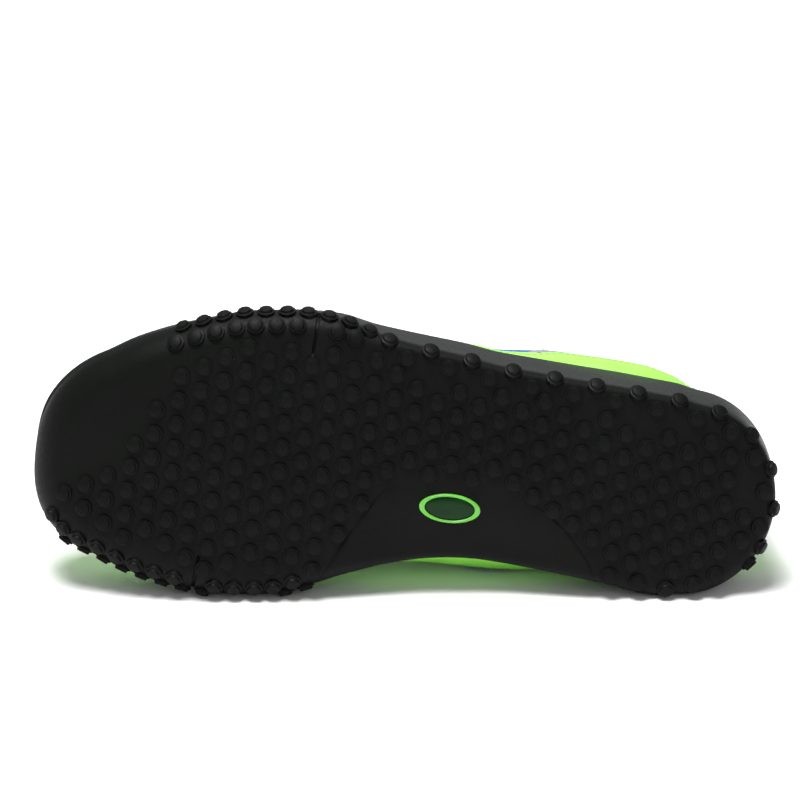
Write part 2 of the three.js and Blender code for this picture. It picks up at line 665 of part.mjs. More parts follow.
// Each piece's shape, colour and roughness.
const PIECES = [
  { name: "outsole", shape: outsole(), color: 0x1b1d1b, roughness: 0.75 },
  { name: "midsole", shape: midsole(), color: 0x2b2e2e, roughness: 0.55 },
  { name: "arch_inlay", shape: archInlay(), color: 0x7fdc3c, roughness: 0.35 },
  { name: "upper", shape: upper(), color: 0x8eea4e, roughness: 0.5 },
  { name: "insole", shape: insole(), color: 0x3c4046, roughness: 0.9 },
  { name: "tongue", shape: tongue(), color: 0x9a9cab, roughness: 0.9 },
  { name: "laces", shape: laces(), color: 0x8eea4e, roughness: 0.8 },
];

// The shoe upright, each piece a named mesh.
const shoe = new THREE.Group();
for (const { name, shape, color, roughness } of PIECES) {
  const mesh = new THREE.Mesh(shape, new THREE.MeshStandardMaterial({ color, roughness, metalness: 0 }));
  mesh.name = name;
  shoe.add(mesh);
}

// Toe to -x, lateral side up, sole to -y: the shoe on its medial side before it settles.
shoe.matrix.makeBasis(new THREE.Vector3(-1, 0, 0), new THREE.Vector3(0, 0, 1), new THREE.Vector3(0, 1, 0));
shoe.matrix.decompose(shoe.position, shoe.quaternion, shoe.scale);
shoe.updateMatrixWorld(true);

// Corners of all pieces and the middle of their volume, in the shoe's turned frame.
function cornersAndCentre() {
  const corners = [];
  const centre = new THREE.Vector3();
  let volume = 0;
  for (const mesh of shoe.children) {
    const place = mesh.geometry.attributes.position;
    const all = Array.from({ length: place.count }, (_, i) =>
      new THREE.Vector3().fromBufferAttribute(place, i).applyMatrix4(mesh.matrixWorld),
    );
    const index = mesh.geometry.index.array;
    for (let i = 0; i < index.length; i += 3) {
      const [a, b, c] = [all[index[i]], all[index[i + 1]], all[index[i + 2]]];
      const part = a.dot(b.clone().cross(c)) / 6;
      centre.addScaledVector(a.clone().add(b).add(c), part / 4);
      volume += part;
    }
    corners.push(...all);
  }
  return { corners, centre: centre.divideScalar(volume) };
}

// The three corners that the shoe lies on: the face of its hull under its middle that looks down the most.
function restingFace() {
  const { corners, centre } = cornersAndCentre();
  const hull = new ConvexHull().setFromPoints(corners);
  let best = null;
  for (const face of hull.faces) {
    const points = [face.edge.tail().point, face.edge.head().point, face.edge.next.head().point];
    const triangle = new THREE.Triangle(...points);
    const normal = triangle.getNormal(new THREE.Vector3());
    if (normal.dot(face.normal) < 0) normal.negate();
    const foot = centre.clone().addScaledVector(normal, points[0].clone().sub(centre).dot(normal));
    if (triangle.containsPoint(foot) && normal.y > 0 && (!best || normal.z < best.z)) best = normal;
  }
  return best;
}

const part = new THREE.Group();
part.name = "throwing_shoe";
part.add(shoe);
const down = new THREE.Vector3(0, 0, -1);
const settle = new THREE.Quaternion().setFromUnitVectors(restingFace(), down);
part.quaternion.copy(settle);
const heading = new THREE.Vector3(-1, 0, 0).applyQuaternion(settle);
const yaw = new THREE.Quaternion().setFromAxisAngle(down, Math.atan2(heading.y, heading.x) - Math.PI);
part.quaternion.premultiply(yaw);
part.updateMatrixWorld(true);
const box = new THREE.Box3().setFromObject(part, true);
const middle = box.getCenter(new THREE.Vector3());
part.position.set(-middle.x, -middle.y, -box.min.z);
part.updateMatrixWorld(true);

export default part;
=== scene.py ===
"""Throwing shoe for the left foot, lying on its medial side: its looks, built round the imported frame.

The shoe is worked out upright, in millimetres: x from heel to toe, y to the lateral side, z up from
the stud crowns. A placing made from the two resting faces under the sole lays it into the frame.
"""

import json
import logging
import math
from dataclasses import dataclass
from enum import Enum
from typing import Callable

import bmesh
import bpy
import numpy as np
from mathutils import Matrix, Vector


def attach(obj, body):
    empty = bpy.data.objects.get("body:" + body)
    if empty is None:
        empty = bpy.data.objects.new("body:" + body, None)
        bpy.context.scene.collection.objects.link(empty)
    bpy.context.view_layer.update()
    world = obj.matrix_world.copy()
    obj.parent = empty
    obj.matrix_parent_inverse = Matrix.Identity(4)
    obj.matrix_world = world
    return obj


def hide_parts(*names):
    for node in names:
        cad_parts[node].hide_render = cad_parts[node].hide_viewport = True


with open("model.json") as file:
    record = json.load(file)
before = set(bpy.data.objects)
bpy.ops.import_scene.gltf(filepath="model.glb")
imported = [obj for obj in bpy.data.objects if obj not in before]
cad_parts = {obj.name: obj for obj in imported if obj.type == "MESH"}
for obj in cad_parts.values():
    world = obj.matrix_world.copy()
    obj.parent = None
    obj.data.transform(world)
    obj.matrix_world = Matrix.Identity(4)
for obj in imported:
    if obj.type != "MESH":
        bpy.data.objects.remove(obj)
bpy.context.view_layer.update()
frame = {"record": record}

LOG = logging.getLogger("shoe")
Points = np.ndarray

# A millimetre in metres, the gap between two pieces in millimetres, and half a turn in radians.
MM = 0.001
CLEARANCE = 0.3
HALF_TURN = math.pi
# In metres: points closer than the first are one, and edges shorter than the second go.
MERGE = 2e-5
SLIVER = 1e-7
# How deep the underside of an overlay lies in the upper's face, in millimetres.
SUNK = -0.3
# The place of the mount heel_rest, in columns of studs from the heel.
HEEL_REST_COLUMN = 6.5


class Side(Enum):
    """The two sides of a left shoe."""

    LATERAL = 1
    MEDIAL = -1


@dataclass(frozen=True)
class Table:
    """Named columns, one row for each section, read smoothly between the rows.

    Args:
        columns: The names of the columns, the place of the row first.
        rows: The values, sorted by their place.
    """

    columns: str
    rows: tuple[tuple[float, ...], ...]

    def read(self, column: str, at: Points) -> Points:
        """Reads a column between its rows, without overshoot.

        Args:
            column: The name of the column.
            at: The places to read at.

        Returns:
            The values at those places.
        """
        data = np.array(self.rows)
        places = data[:, 0]
        values = data[:, self.columns.split().index(column)]
        rise = np.diff(values) / np.diff(places)
        slope = np.concatenate(([rise[0]], np.zeros(len(rise) - 1), [rise[-1]]))
        product = rise[:-1] * rise[1:]
        total = np.where(product > 0, rise[:-1] + rise[1:], 1.0)
        slope[1:-1] = np.where(product > 0, 2 * product / total, 0.0)
        at = np.clip(np.asarray(at, float), places[0], places[-1])
        i = np.clip(np.searchsorted(places, at, side="right") - 1, 0, len(places) - 2)
        span = places[i + 1] - places[i]
        t = (at - places[i]) / span
        return (
            values[i] * (1 + 2 * t) * (1 - t) ** 2
            + slope[i] * span * t * (1 - t) ** 2
            + values[i + 1] * t**2 * (3 - 2 * t)
            + slope[i + 1] * span * t**2 * (t - 1)
        )


@dataclass(frozen=True)
class Crease:
    """A flex crease over the vamp: place and lean along the shoe, width there, and depth in millimetres."""

    place: float
    lean: float
    wide: float
    deep: float

    def sink(self, at: Points, share: Points) -> Points:
        """How far it sinks in at a station and a share of the way up."""
        return self.deep * np.exp(-(((at - self.place - self.lean * share) / self.wide) ** 2))


# The tread in plan: place along the shoe, then middle and half width in shares of the ball's width. As in the
# photograph, the lateral edge of ball and toe lies 2 to 4 mm further in than the source's.
PLAN = Table(
    "at centre half",
    (
        (0.0, -0.009, 0.314),
        (0.115, -0.007, 0.332),
        (0.155, -0.003, 0.347),
        (0.226, 0.018, 0.341),
        (0.304, 0.034, 0.338),
        (0.382, 0.048, 0.339),
        (0.446, 0.057, 0.356),
        (0.507, 0.05, 0.382),
        (0.557, 0.039, 0.416),
        (0.608, 0.028, 0.462),
        (0.676, 0.001, 0.493),
        (0.726, -0.013, 0.491),
        (0.77, -0.0255, 0.4725),
        (0.828, -0.044, 0.433),
        (0.875, -0.057, 0.393),
        (0.915, -0.072, 0.364),
        (1.0, -0.1125, 0.3555),
    ),
)
# The sides of the sole: how much of the form's roll, wrap, rim height and flare each section has.
SOLE_SIDES = {
    Side.LATERAL: Table(
        "at roll wrap rim flare",
        (
            (0.0, 0.45, 0.04, 1.0, 0.5),
            (0.1, 0.35, 0.04, 1.0, 0.9),
            (0.3, 0.3, 0.04, 0.96, 1.0),
            (0.5, 0.35, 0.04, 0.88, 0.8),
            (0.6, 0.7, 0.04, 0.82, 0.0),
            (0.7, 1.0, 0.04, 0.79, -0.8),
            (0.85, 1.1, 0.04, 0.78, -0.8),
            (1.0, 1.3, 0.08, 0.8, -0.6),
        ),
    ),
    Side.MEDIAL: Table(
        "at roll wrap rim flare",
        (
            (0.0, 0.45, 0.04, 1.0, 0.5),
            (0.06, 0.6, 0.04, 0.97, -1.0),
            (0.2, 0.45, 0.04, 0.86, -1.2),
            (0.4, 0.3, 0.02, 0.68, 0.0),
            (0.5, 0.35, 0.04, 0.68, 0.0),
            (0.6, 0.8, 0.04, 0.74, -0.8),
            (0.7, 1.0, 0.04, 0.78, -1.2),
            (0.85, 1.1, 0.04, 0.78, -1.0),
            (1.0, 1.3, 0.08, 0.8, -0.6),
        ),
    ),
}
# The upper's sections: the topline's place, middle, gap and rise, the wall's turn in degrees, and its bulges.
# The lateral one is up to 2 mm less than the source's, as in the photograph.
RIBS = Table(
    "at top mid gap rise turn lateral medial",
    (
        (0.0, 0.0, 0.0, 0.2, 0.84, 32, 0.0, 0.1),
        (0.1, 0.145, 0.006, 0.238, 0.77, 32, 0.05, -0.4),
        (0.2, 0.28, -0.01, 0.258, 0.72, 34, 0.95, -0.1),
        (0.3, 0.415, -0.03, 0.262, 0.79, 42, 0.85, 1.5),
        (0.4, 0.537, -0.024, 0.2, 0.97, 50, 0.2, 2.0),
        (0.5, 0.644, -0.022, 0.14, 0.95, 58, -0.15, 1.4),
        (0.6, 0.745, -0.026, 0.117, 0.89, 64, 0.15, 0.2),
        (0.7, 0.835, -0.03, 0.104, 0.825, 70, 0.2, -0.3),
        (0.8, 0.91, -0.034, 0.095, 0.76, 76, 0.2, -0.2),
        (0.9, 0.963, -0.036, 0.086, 0.715, 82, 0.2, 0.2),
        (1.0, 1.0, -0.036, 0.078, 0.68, 86, 0.2, 0.2),
    ),
)
CREASES = (
    Crease(0.7, 0.03, 0.012, 0.5),
    Crease(0.735, 0.05, 0.012, 0.9),
    Crease(0.775, 0.06, 0.013, 0.8),
    Crease(0.825, 0.05, 0.012, 0.45),
)
# Where the smooth toe starts along the shoe, by the place across it.
TOE_PATCH = Table(
    "across from",
    (
        (-0.28, 1.0),
        (-0.2, 0.965),
        (-0.09, 0.907),
        (-0.01, 0.868),
        (0.07, 0.856),
        (0.17, 0.838),
        (0.39, 0.833),
    ),
)
# Where the smooth arch starts and ends along the shoe, by the place across it.
ARCH_WINDOW = Table(
    "across from to",
    (
        (-0.39, 0.226, 0.598),
        (-0.27, 0.238, 0.577),
        (-0.2, 0.259, 0.56),
        (-0.134, 0.286, 0.545),
        (-0.085, 0.313, 0.533),
        (-0.05, 0.345, 0.522),
        (-0.02, 0.38, 0.51),
    ),
)


def smoothstep(value: Points, low: float, high: float) -> Points:
    """Rises smoothly from 0 at low to 1 at high."""
    t = np.clip((np.asarray(value, float) - low) / (high - low), 0, 1)
    return t * t * (3 - 2 * t)


def round_end(distance: Points, radius: float, power: float = 2.0) -> Points:
    """How much of its width a form keeps at a distance from its round end."""
    share = np.clip(1 - np.asarray(distance, float) / radius, 0, 1)
    return np.clip(1 - share**power, 0, 1) ** (1 / power)


def stack(x: Points, y: Points, z: Points) -> Points:
    """Joins three coordinates into points."""
    return np.stack(np.broadcast_arrays(x, y, z), axis=-1).astype(float)


def unit(vectors: Points) -> Points:
    """Scales vectors to a length of one."""
    return vectors / np.maximum(np.linalg.norm(vectors, axis=-1, keepdims=True), 1e-12)


def distances(line: Points) -> Points:
    """How far along a line each of its points lies."""
    return np.concatenate(([0.0], np.cumsum(np.linalg.norm(np.diff(line, axis=0), axis=-1))))


def axes_about(out: Points, guide: tuple[float, float, float]) -> Points:
    """Three axes at right angles: the last one leads out of a face, the first one across a guide."""
    first = unit(np.cross(out, guide))
    return np.stack((first, np.cross(out, first), out))


def side_of(turn: Points) -> Points:
    """The side at a turn: 1 is lateral and -1 is medial."""
    return np.where(np.sin(turn) >= 0, 1.0, -1.0)


def turn_of(station: float) -> float:
    """The turn on the lateral side at a share of the length."""
    return math.acos(1 - 2 * station)


@dataclass(frozen=True)
class ShoeForm:
    """The form of sole and upper, upright and in millimetres. A turn runs once round the outline."""

    length: float = 292.0
    ball_width: float = 116.0
    heel_round: float = 33.0
    toe_round: float = 45.0
    toe_spring: float = 12.0
    heel_bevel: float = 3.0
    arch_rise: float = 4.0
    edge_roll: float = 10.0
    plate: float = 3.0
    rim_height: float = 24.0
    rim_wall: float = 1.8
    cup_wall: float = 6.0
    side_flare: float = 2.0
    forefoot_bed: float = 8.0
    heel_bed: float = 12.0
    stud_height: float = 2.0
    stud_pitch: float = 9.6
    stud_base: float = 7.2
    upper_wall: float = 2.0
    instep_height: float = 80.0
    collar_start: float = 5.0
    vamp_point: float = 194.0
    collar_round: float = 24.0
    vamp_round: float = 9.0
    waist_bulge: float = 6.0
    rib_power: float = 0.87

    @property
    def stud_column(self) -> float:
        """How far apart the columns of studs are."""
        return self.stud_pitch * math.sqrt(3) / 2

    def station(self, turn: Points) -> Points:
        """The share of the length at a turn."""
        return (1 - np.cos(turn)) / 2

    def outline(self, turn: Points) -> Points:
        """The tread's outline in plan.

        Args:
            turn: Turns round the outline.

        Returns:
            Its places in plan.
        """
        at = self.station(turn)
        x = at * self.length
        ends = round_end(x, self.heel_round) * round_end(self.length - x, self.toe_round, 2.4)
        y = (PLAN.read("centre", at) + side_of(turn) * PLAN.read("half", at) * ends) * self.ball_width
        return np.stack(np.broadcast_arrays(x, y), axis=-1)

    def inward(self, turn: Points) -> Points:
        """The direction in plan from the outline into the shoe.

        Args:
            turn: Turns round the outline.

        Returns:
            Directions of length one.
        """
        step = 0.01
        along = unit(self.outline(turn + step) - self.outline(turn - step))
        return np.stack((along[..., 1], -along[..., 0]), axis=-1)

    def inset(self, turn: Points, inset: Points) -> Points:
        """A point in plan inside the outline."""
        return self.outline(turn) + self.inward(turn) * np.asarray(inset)[..., None]

    def side(self, turn: Points, column: str) -> Points:
        """A value of the sole's side at a turn.

        Args:
            turn: Turns round the outline.
            column: The name of the value.

        Returns:
            The value at each turn.
        """
        at = self.station(turn)
        lateral = SOLE_SIDES[Side.LATERAL].read(column, at)
        return np.where(np.sin(turn) >= 0, lateral, SOLE_SIDES[Side.MEDIAL].read(column, at))

    def lift(self, x: Points) -> Points:
        """Toe spring and heel bevel at x.

        Args:
            x: Places along the shoe.

        Returns:
            Heights.
        """
        toe = np.clip((x / self.length - 0.7) / 0.3, 0, 1.1)
        heel = np.clip((0.1 - x / self.length) / 0.1, 0, 1)
        return self.toe_spring * toe**2.2 + self.heel_bevel * heel**2

    def ground(self, x: Points, y: Points) -> Points:
        """Height of the tread's face without its rolled edges.

        Args:
            x: Places along the shoe.
            y: Places across it.

        Returns:
            Heights.
        """
        share = x / self.length
        along = smoothstep(share, 0.22, 0.38) * (1 - smoothstep(share, 0.46, 0.62))
        across = smoothstep(-y / self.ball_width, 0, 0.3)
        return self.stud_height + self.lift(x) + self.arch_rise * along * across

    def on_tread(self, plan: Points, rise: Points) -> Points:
        """Points at places in plan, some way over the tread's face."""
        return stack(plan[..., 0], plan[..., 1], self.ground(plan[..., 0], plan[..., 1]) + rise)

    def bed(self, x: Points) -> Points:
        """Height of the floor that the insole lies on.

        Args:
            x: Places along the shoe.

        Returns:
            Heights.
        """
        forward = smoothstep(x / self.length, 0.3, 0.66)
        height = self.heel_bed + (self.forefoot_bed - self.heel_bed) * forward
        return self.stud_height + height + self.lift(x)

    def rolled(self, turn: Points, angle: float, depth: float) -> Points:
        """A point of the rolled edge.

        Args:
            turn: Its turn round the outline.
            angle: Its place on the roll, in degrees: 0 at the face and 90 at the side.
            depth: How far under the tread's face it lies.

        Returns:
            The point.
        """
        roll = np.maximum(self.side(turn, "roll") * self.edge_roll, depth + 0.4)
        plan = self.inset(turn, roll - (roll - depth) * math.sin(math.radians(angle)))
        return self.on_tread(plan, roll - (roll - depth) * math.cos(math.radians(angle)))

    def lip(self, turn: Points, inset: float, extra: float) -> Points:
        """A point at the height where tread and sidewall meet.

        Args:
            turn: Turns round the outline.
            inset: How far inside the outline it lies.
            extra: How far over that height it lies.

        Returns:
            The point at each turn.
        """
        plan = self.inset(turn, np.full(np.shape(turn), inset))
        rise = self.side(turn, "roll") * self.edge_roll + self.side(turn, "wrap") * self.rim_height + extra
        return self.on_tread(plan, rise)

    def rim(self, turn: Points, inset: float, drop: float = 0.0) -> Points:
        """A point of the sidewall's rim, or some way under it.

        Args:
            turn: Turns round the outline.
            inset: How far inside the outline it lies.
            drop: How far under the rim it lies.

        Returns:
            The point at each turn.
        """
        plan = self.inset(turn, inset - self.side(turn, "flare") * self.side_flare)
        height = self.stud_height + self.lift(plan[..., 0]) + self.side(turn, "rim") * self.rim_height
        return stack(plan[..., 0], plan[..., 1], height - drop)

    def on_bed(self, turn: Points, inset: float, height: float) -> Points:
        """A point over the floor of the cup."""
        plan = self.inset(turn, np.full(np.shape(turn), inset))
        return stack(plan[..., 0], plan[..., 1], self.bed(plan[..., 0]) + height)

    def topline(self, turn: Points) -> Points:
        """The edge of collar and throat.

        Args:
            turn: Turns round the outline.

        Returns:
            The point at each turn.
        """
        at = self.station(turn)
        x = self.collar_start + (self.vamp_point - self.collar_start) * RIBS.read("top", at)
        heel = round_end(x - self.collar_start, self.collar_round)
        ends = heel * round_end(self.vamp_point - x, self.vamp_round)
        y = (RIBS.read("mid", at) + side_of(turn) * RIBS.read("gap", at) * ends) * self.ball_width
        return stack(x, y, RIBS.read("rise", at) * self.instep_height)

    def upper(self, turn: Points, share: Points) -> Points:
        """A point of the upper's face.

        Args:
            turn: Its turn round the outline.
            share: Its share of the way from the sole's rim, at 0, to the topline, at 1.

        Returns:
            The point.
        """
        turn, share = np.broadcast_arrays(turn, share)
        low = self.rim(turn, self.rim_wall + 3 * CLEARANCE)
        high = self.topline(turn)
        at = self.station(turn)
        full = np.radians(RIBS.read("turn", at))
        power = self.rib_power
        angle = np.clip(share, 0, 1.2) * full
        over = (1 - np.cos(angle) ** power) / (1 - np.cos(full) ** power)
        up = (np.sin(angle) / np.sin(full)) ** power
        lateral = np.sin(turn) >= 0
        bulge = np.where(lateral, RIBS.read("lateral", at), RIBS.read("medial", at)) * self.waist_bulge
        swell = bulge * np.sin(HALF_TURN * np.clip(share, 0, 1) ** 0.5)
        points = low + (high - low) * np.stack((over, over, up), axis=-1)
        points[..., :2] += -self.inward(turn) * swell[..., None]
        return points

    def upper_normal(self, turn: Points, share: Points) -> Points:
        """The outward normal of the upper's face.

        Args:
            turn: Turns round the outline.
            share: Shares of the way up the wall.

        Returns:
            Directions of length one.
        """
        turn, share = np.broadcast_arrays(turn, share)
        step = 0.02
        along = self.upper(turn + step, share) - self.upper(turn - step, share)
        rib = self.upper(turn, np.minimum(1, share + step)) - self.upper(turn, np.maximum(0, share - step))
        return unit(np.cross(rib, along))

    def creases(self, turn: Points, share: Points) -> Points:
        """How far the flex creases at both sides of the vamp sink in.

        Args:
            turn: Turns round the outline.
            share: Shares of the way up the wall.

        Returns:
            Depths.
        """
        at = self.station(turn)
        depth = sum(crease.sink(at, share) for crease in CREASES)
        return depth * smoothstep(share, 0.36, 0.5) * (1 - smoothstep(share, 0.6, 0.76))

    def upper_off(self, turn: Points, share: Points, distance: Points) -> Points:
        """A point of the upper, moved out of its face.

        Args:
            turn: Turns round the outline.
            share: Shares of the way up the wall.
            distance: How far out of the face it lies.

        Returns:
            The point.
        """
        turn, share = np.broadcast_arrays(turn, share)
        distance = np.broadcast_to(distance, turn.shape) - self.creases(turn, share)
        return self.upper(turn, share) + self.upper_normal(turn, share) * distance[..., None]

    def tread(self, x: float, y: float) -> tuple[float, float, float]:
        """Where a point in plan lies on the tread.

        Args:
            x: Its place along the shoe.
            y: Its place across it.

        Returns:
            How far it is inside the edge, the roll of the edge there and the height of the face.
        """
        nearest = int(np.argmin(np.sum((EDGE_POINTS - (x, y)) ** 2, axis=-1)))
        inset = float(np.dot(np.array((x, y)) - EDGE_POINTS[nearest], EDGE_INWARD[nearest]))
        roll = float(EDGE_ROLLS[nearest])
        over = min(max(roll - inset, 0), roll * 0.999)
        height = float(self.ground(np.array(x), np.array(y))) + roll - math.sqrt(roll**2 - over**2)
        return inset, roll, height


FORM = ShoeForm()
EDGE_TURNS = np.linspace(0, 2 * HALF_TURN, 720, endpoint=False)
EDGE_POINTS = FORM.outline(EDGE_TURNS)
EDGE_INWARD = FORM.inward(EDGE_TURNS)
EDGE_ROLLS = FORM.side(EDGE_TURNS, "roll") * FORM.edge_roll


class Placing:
    """Lays upright points, in millimetres, into the frame, in metres."""

    def __init__(self, record: dict) -> None:
        """Reads the placing from the two resting faces under the sole.

        Args:
            record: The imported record, whose mounts name both faces.
        """
        mounts = {mount["name"]: mount for mount in record["mounts"]}
        heel = np.array(mounts["heel_rest"]["pos_m"])
        toe = np.array(mounts["forefoot_rest"]["pos_m"])
        up = -np.array(mounts["heel_rest"]["axis"])
        along = unit(toe - heel)
        up = unit(up - along * np.dot(up, along))
        self.axes = np.stack((along, np.cross(up, along), up))
        self.origin = heel - along * (HEEL_REST_COLUMN * FORM.stud_column * MM)

    def points(self, upright: Points) -> Points:
        """Points in the frame, in metres, from upright ones in millimetres."""
        return np.asarray(upright) * MM @ self.axes + self.origin


PLACING = Placing(frame["record"])


class Modeller:
    """Builds one piece's mesh from mapped grids, which bmesh makes and this class places."""

    def __init__(self, name: str) -> None:
        """Starts an empty mesh with a UV map.

        Args:
            name: The name of the mesh.
        """
        self.name = name
        self.bm = bmesh.new()
        self.uv = self.bm.loops.layers.uv.new("UVMap")

    def grid(self, points: Points, slot: int = 0, uv: Points | None = None) -> None:
        """Adds a grid through points, rows by columns.

        Args:
            points: Upright points, in millimetres, shaped (rows, columns, 3).
            slot: The material slot of its faces.
            uv: A pair of values for each point, or None for an even spread.
        """
        rows, columns = points.shape[:2]
        cells = {"x_segments": columns - 1, "y_segments": rows - 1}
        verts = bmesh.ops.create_grid(self.bm, size=1, calc_uvs=True, **cells)["verts"]
        place = PLACING.points(points)
        index: dict = {}
        for vert in verts:
            column = round((vert.co.x + 1) / 2 * (columns - 1))
            row = round((vert.co.y + 1) / 2 * (rows - 1))
            index[vert] = (row, column)
        faces = {face for vert in verts for face in vert.link_faces}
        for face in faces:
            face.material_index = slot
            for loop in face.loops:
                row, column = index[loop.vert]
                if uv is None:
                    loop[self.uv].uv = (column / (columns - 1), row / (rows - 1))
                else:
                    loop[self.uv].uv = uv[row, column]
        for vert, (row, column) in index.items():
            vert.co = place[row, column]

    def across(
        self,
        ring: Callable[[Points], Points],
        surface: Callable[[Points, Points], Points],
        turns: Points,
        steps: int,
    ) -> None:
        """Fills a ring from its lateral to its medial side.

        Args:
            ring: Gives the ring's point at a turn.
            surface: Gives the height of the fill at a place in plan.
            turns: The turns from heel to toe at which the fill has its rows.
            steps: How many faces it has across.
        """
        left = ring(turns)[:, None, :]
        right = ring(2 * HALF_TURN - turns)[:, None, :]
        share = np.linspace(0, 1, steps + 1)[None, :, None]
        points = left + (right - left) * share
        points[:, 1:-1, 2] = surface(points[:, 1:-1, 0], points[:, 1:-1, 1])
        self.grid(points)

    def finish(self, crease: float = 40.0) -> bpy.types.Object:
        """Merges doubles, turns the faces out and makes the object.

        Args:
            crease: Edges sharper than this many degrees stay sharp.

        Returns:
            The new object, on the shoe's one body.
        """
        bmesh.ops.remove_doubles(self.bm, verts=self.bm.verts, dist=MERGE)
        bmesh.ops.dissolve_degenerate(self.bm, edges=self.bm.edges, dist=SLIVER)
        bmesh.ops.recalc_face_normals(self.bm, faces=self.bm.faces)
        for face in self.bm.faces:
            face.smooth = True
        mesh = bpy.data.meshes.new(self.name)
        self.bm.to_mesh(mesh)
        self.bm.free()
        mesh.set_sharp_from_angle(angle=math.radians(crease))
        piece = bpy.data.objects.new(self.name, mesh)
        bpy.context.scene.collection.objects.link(piece)
        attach(piece, "root")
        LOG.info("%s: %d faces", self.name, len(mesh.polygons))
        return piece


def around(count: int) -> Points:
    """Turns once round the outline, with the first one again at the end."""
    return np.linspace(0, 2 * HALF_TURN, count + 1)


def rows_of(turns: Points, makers: list[Callable[[Points], Points]]) -> Points:
    """Stacks loops round the outline into one grid."""
    return np.stack([make(turns) for make in makers])


def lathe(profile: tuple[tuple[float, float], ...], sides: int) -> Points:
    """A turned form as a grid.

    Args:
        profile: Pairs of radius and height, with the axis along z.
        sides: How many faces it has round the axis.

    Returns:
        Its points, a row for each pair.
    """
    angle = np.linspace(0, 2 * HALF_TURN, sides + 1)
    rows = []
    for radius, height in profile:
        rows.append(stack(radius * np.cos(angle), radius * np.sin(angle), height))
    return np.stack(rows)


class Shader:
    """A small helper that wires one material's nodes."""

    def __init__(self, name: str) -> None:
        """Starts a material with a principled shader.

        Args:
            name: The name of the material.
        """
        self.material = bpy.data.materials.new(name)
        self.material.use_nodes = True
        self.tree = self.material.node_tree
        self.bsdf = self.tree.nodes["Principled BSDF"]

    def node(self, kind: str, inputs: dict | None = None, **settings: object) -> bpy.types.Node:
        """Adds a node, sets its inputs by name and its own settings.

        Args:
            kind: The kind of node.
            inputs: Values or sockets by the name or number of an input.
            settings: The node's own settings.

        Returns:
            The new node.
        """
        made = self.tree.nodes.new(kind)
        for key, value in settings.items():
            setattr(made, key, value)
        for key, value in (inputs or {}).items():
            if isinstance(value, bpy.types.NodeSocket):
                self.tree.links.new(value, made.inputs[key])
            else:
                made.inputs[key].default_value = value
        return made

    def link(self, source: bpy.types.NodeSocket, target: bpy.types.NodeSocket) -> None:
        """Joins two sockets."""
        self.tree.links.new(source, target)

    def coordinates(self) -> bpy.types.NodeSocket:
        """Object coordinates."""
        return self.node("ShaderNodeTexCoord").outputs["Object"]

    def noise(self, scale: float, detail: float = 4.0, rough: float = 0.55) -> bpy.types.NodeSocket:
        """Noise in object space."""
        inputs = {"Vector": self.coordinates(), "Scale": scale, "Detail": detail, "Roughness": rough}
        return self.node("ShaderNodeTexNoise", inputs).outputs["Fac"]

    def spread(
        self, value: bpy.types.NodeSocket, low: float, high: float, to_low: float, to_high: float
    ) -> bpy.types.NodeSocket:
        """Maps a value from one range to another."""
        inputs = {"Value": value, "From Min": low, "From Max": high, "To Min": to_low, "To Max": to_high}
        return self.node("ShaderNodeMapRange", inputs).outputs["Result"]

    def mix(self, share: bpy.types.NodeSocket, first: tuple, second: tuple) -> bpy.types.NodeSocket:
        """Mixes two colours.

        Args:
            share: How much of the second one shows.
            first: The first colour.
            second: The second colour.

        Returns:
            The mixed colour.
        """
        made = self.node("ShaderNodeMix", data_type="RGBA")
        self.link(share, made.inputs["Factor"])
        for key, value in ((6, first), (7, second)):
            made.inputs[key].default_value = (*value, 1)
        return made.outputs[2]

    def bump(
        self,
        height: bpy.types.NodeSocket,
        strength: float,
        distance: float,
        normal: bpy.types.NodeSocket | None = None,
    ) -> bpy.types.NodeSocket:
        """Adds relief from a height.

        Args:
            height: The height.
            strength: How strongly it shows.
            distance: What a height of one stands for, in metres.
            normal: Other relief that it lies on, or None.

        Returns:
            The normal.
        """
        inputs = {"Height": height, "Strength": strength, "Distance": distance}
        if normal is not None:
            inputs["Normal"] = normal
        return self.node("ShaderNodeBump", inputs).outputs["Normal"]


@dataclass(frozen=True)
class Rubber:
    """Moulded black or dark rubber with fine grain, a little dust and soft wear."""

    name: str
    dark: tuple[float, float, float]
    light: tuple[float, float, float]
    rough: float
    grain: float
    gloss: float = 0.1

    def make(self) -> bpy.types.Material:
        """Wires the material.

        Returns:
            The new material.
        """
        shader = Shader(self.name)
        patches = shader.spread(shader.noise(22, 5), 0.35, 0.7, 0.0, 1.0)
        shader.link(shader.mix(patches, self.dark, self.light), shader.bsdf.inputs["Base Color"])
        fine = shader.noise(900, 2)
        rough = shader.spread(fine, 0.3, 0.7, self.rough - 0.07, self.rough + 0.08)
        shader.link(rough, shader.bsdf.inputs["Roughness"])
        coarse = shader.bump(shader.noise(240, 3), 0.2, 0.0004)
        shader.link(shader.bump(fine, self.grain, 0.0003, coarse), shader.bsdf.inputs["Normal"])
        shader.bsdf.inputs["Specular IOR Level"].default_value = self.gloss
        return shader.material


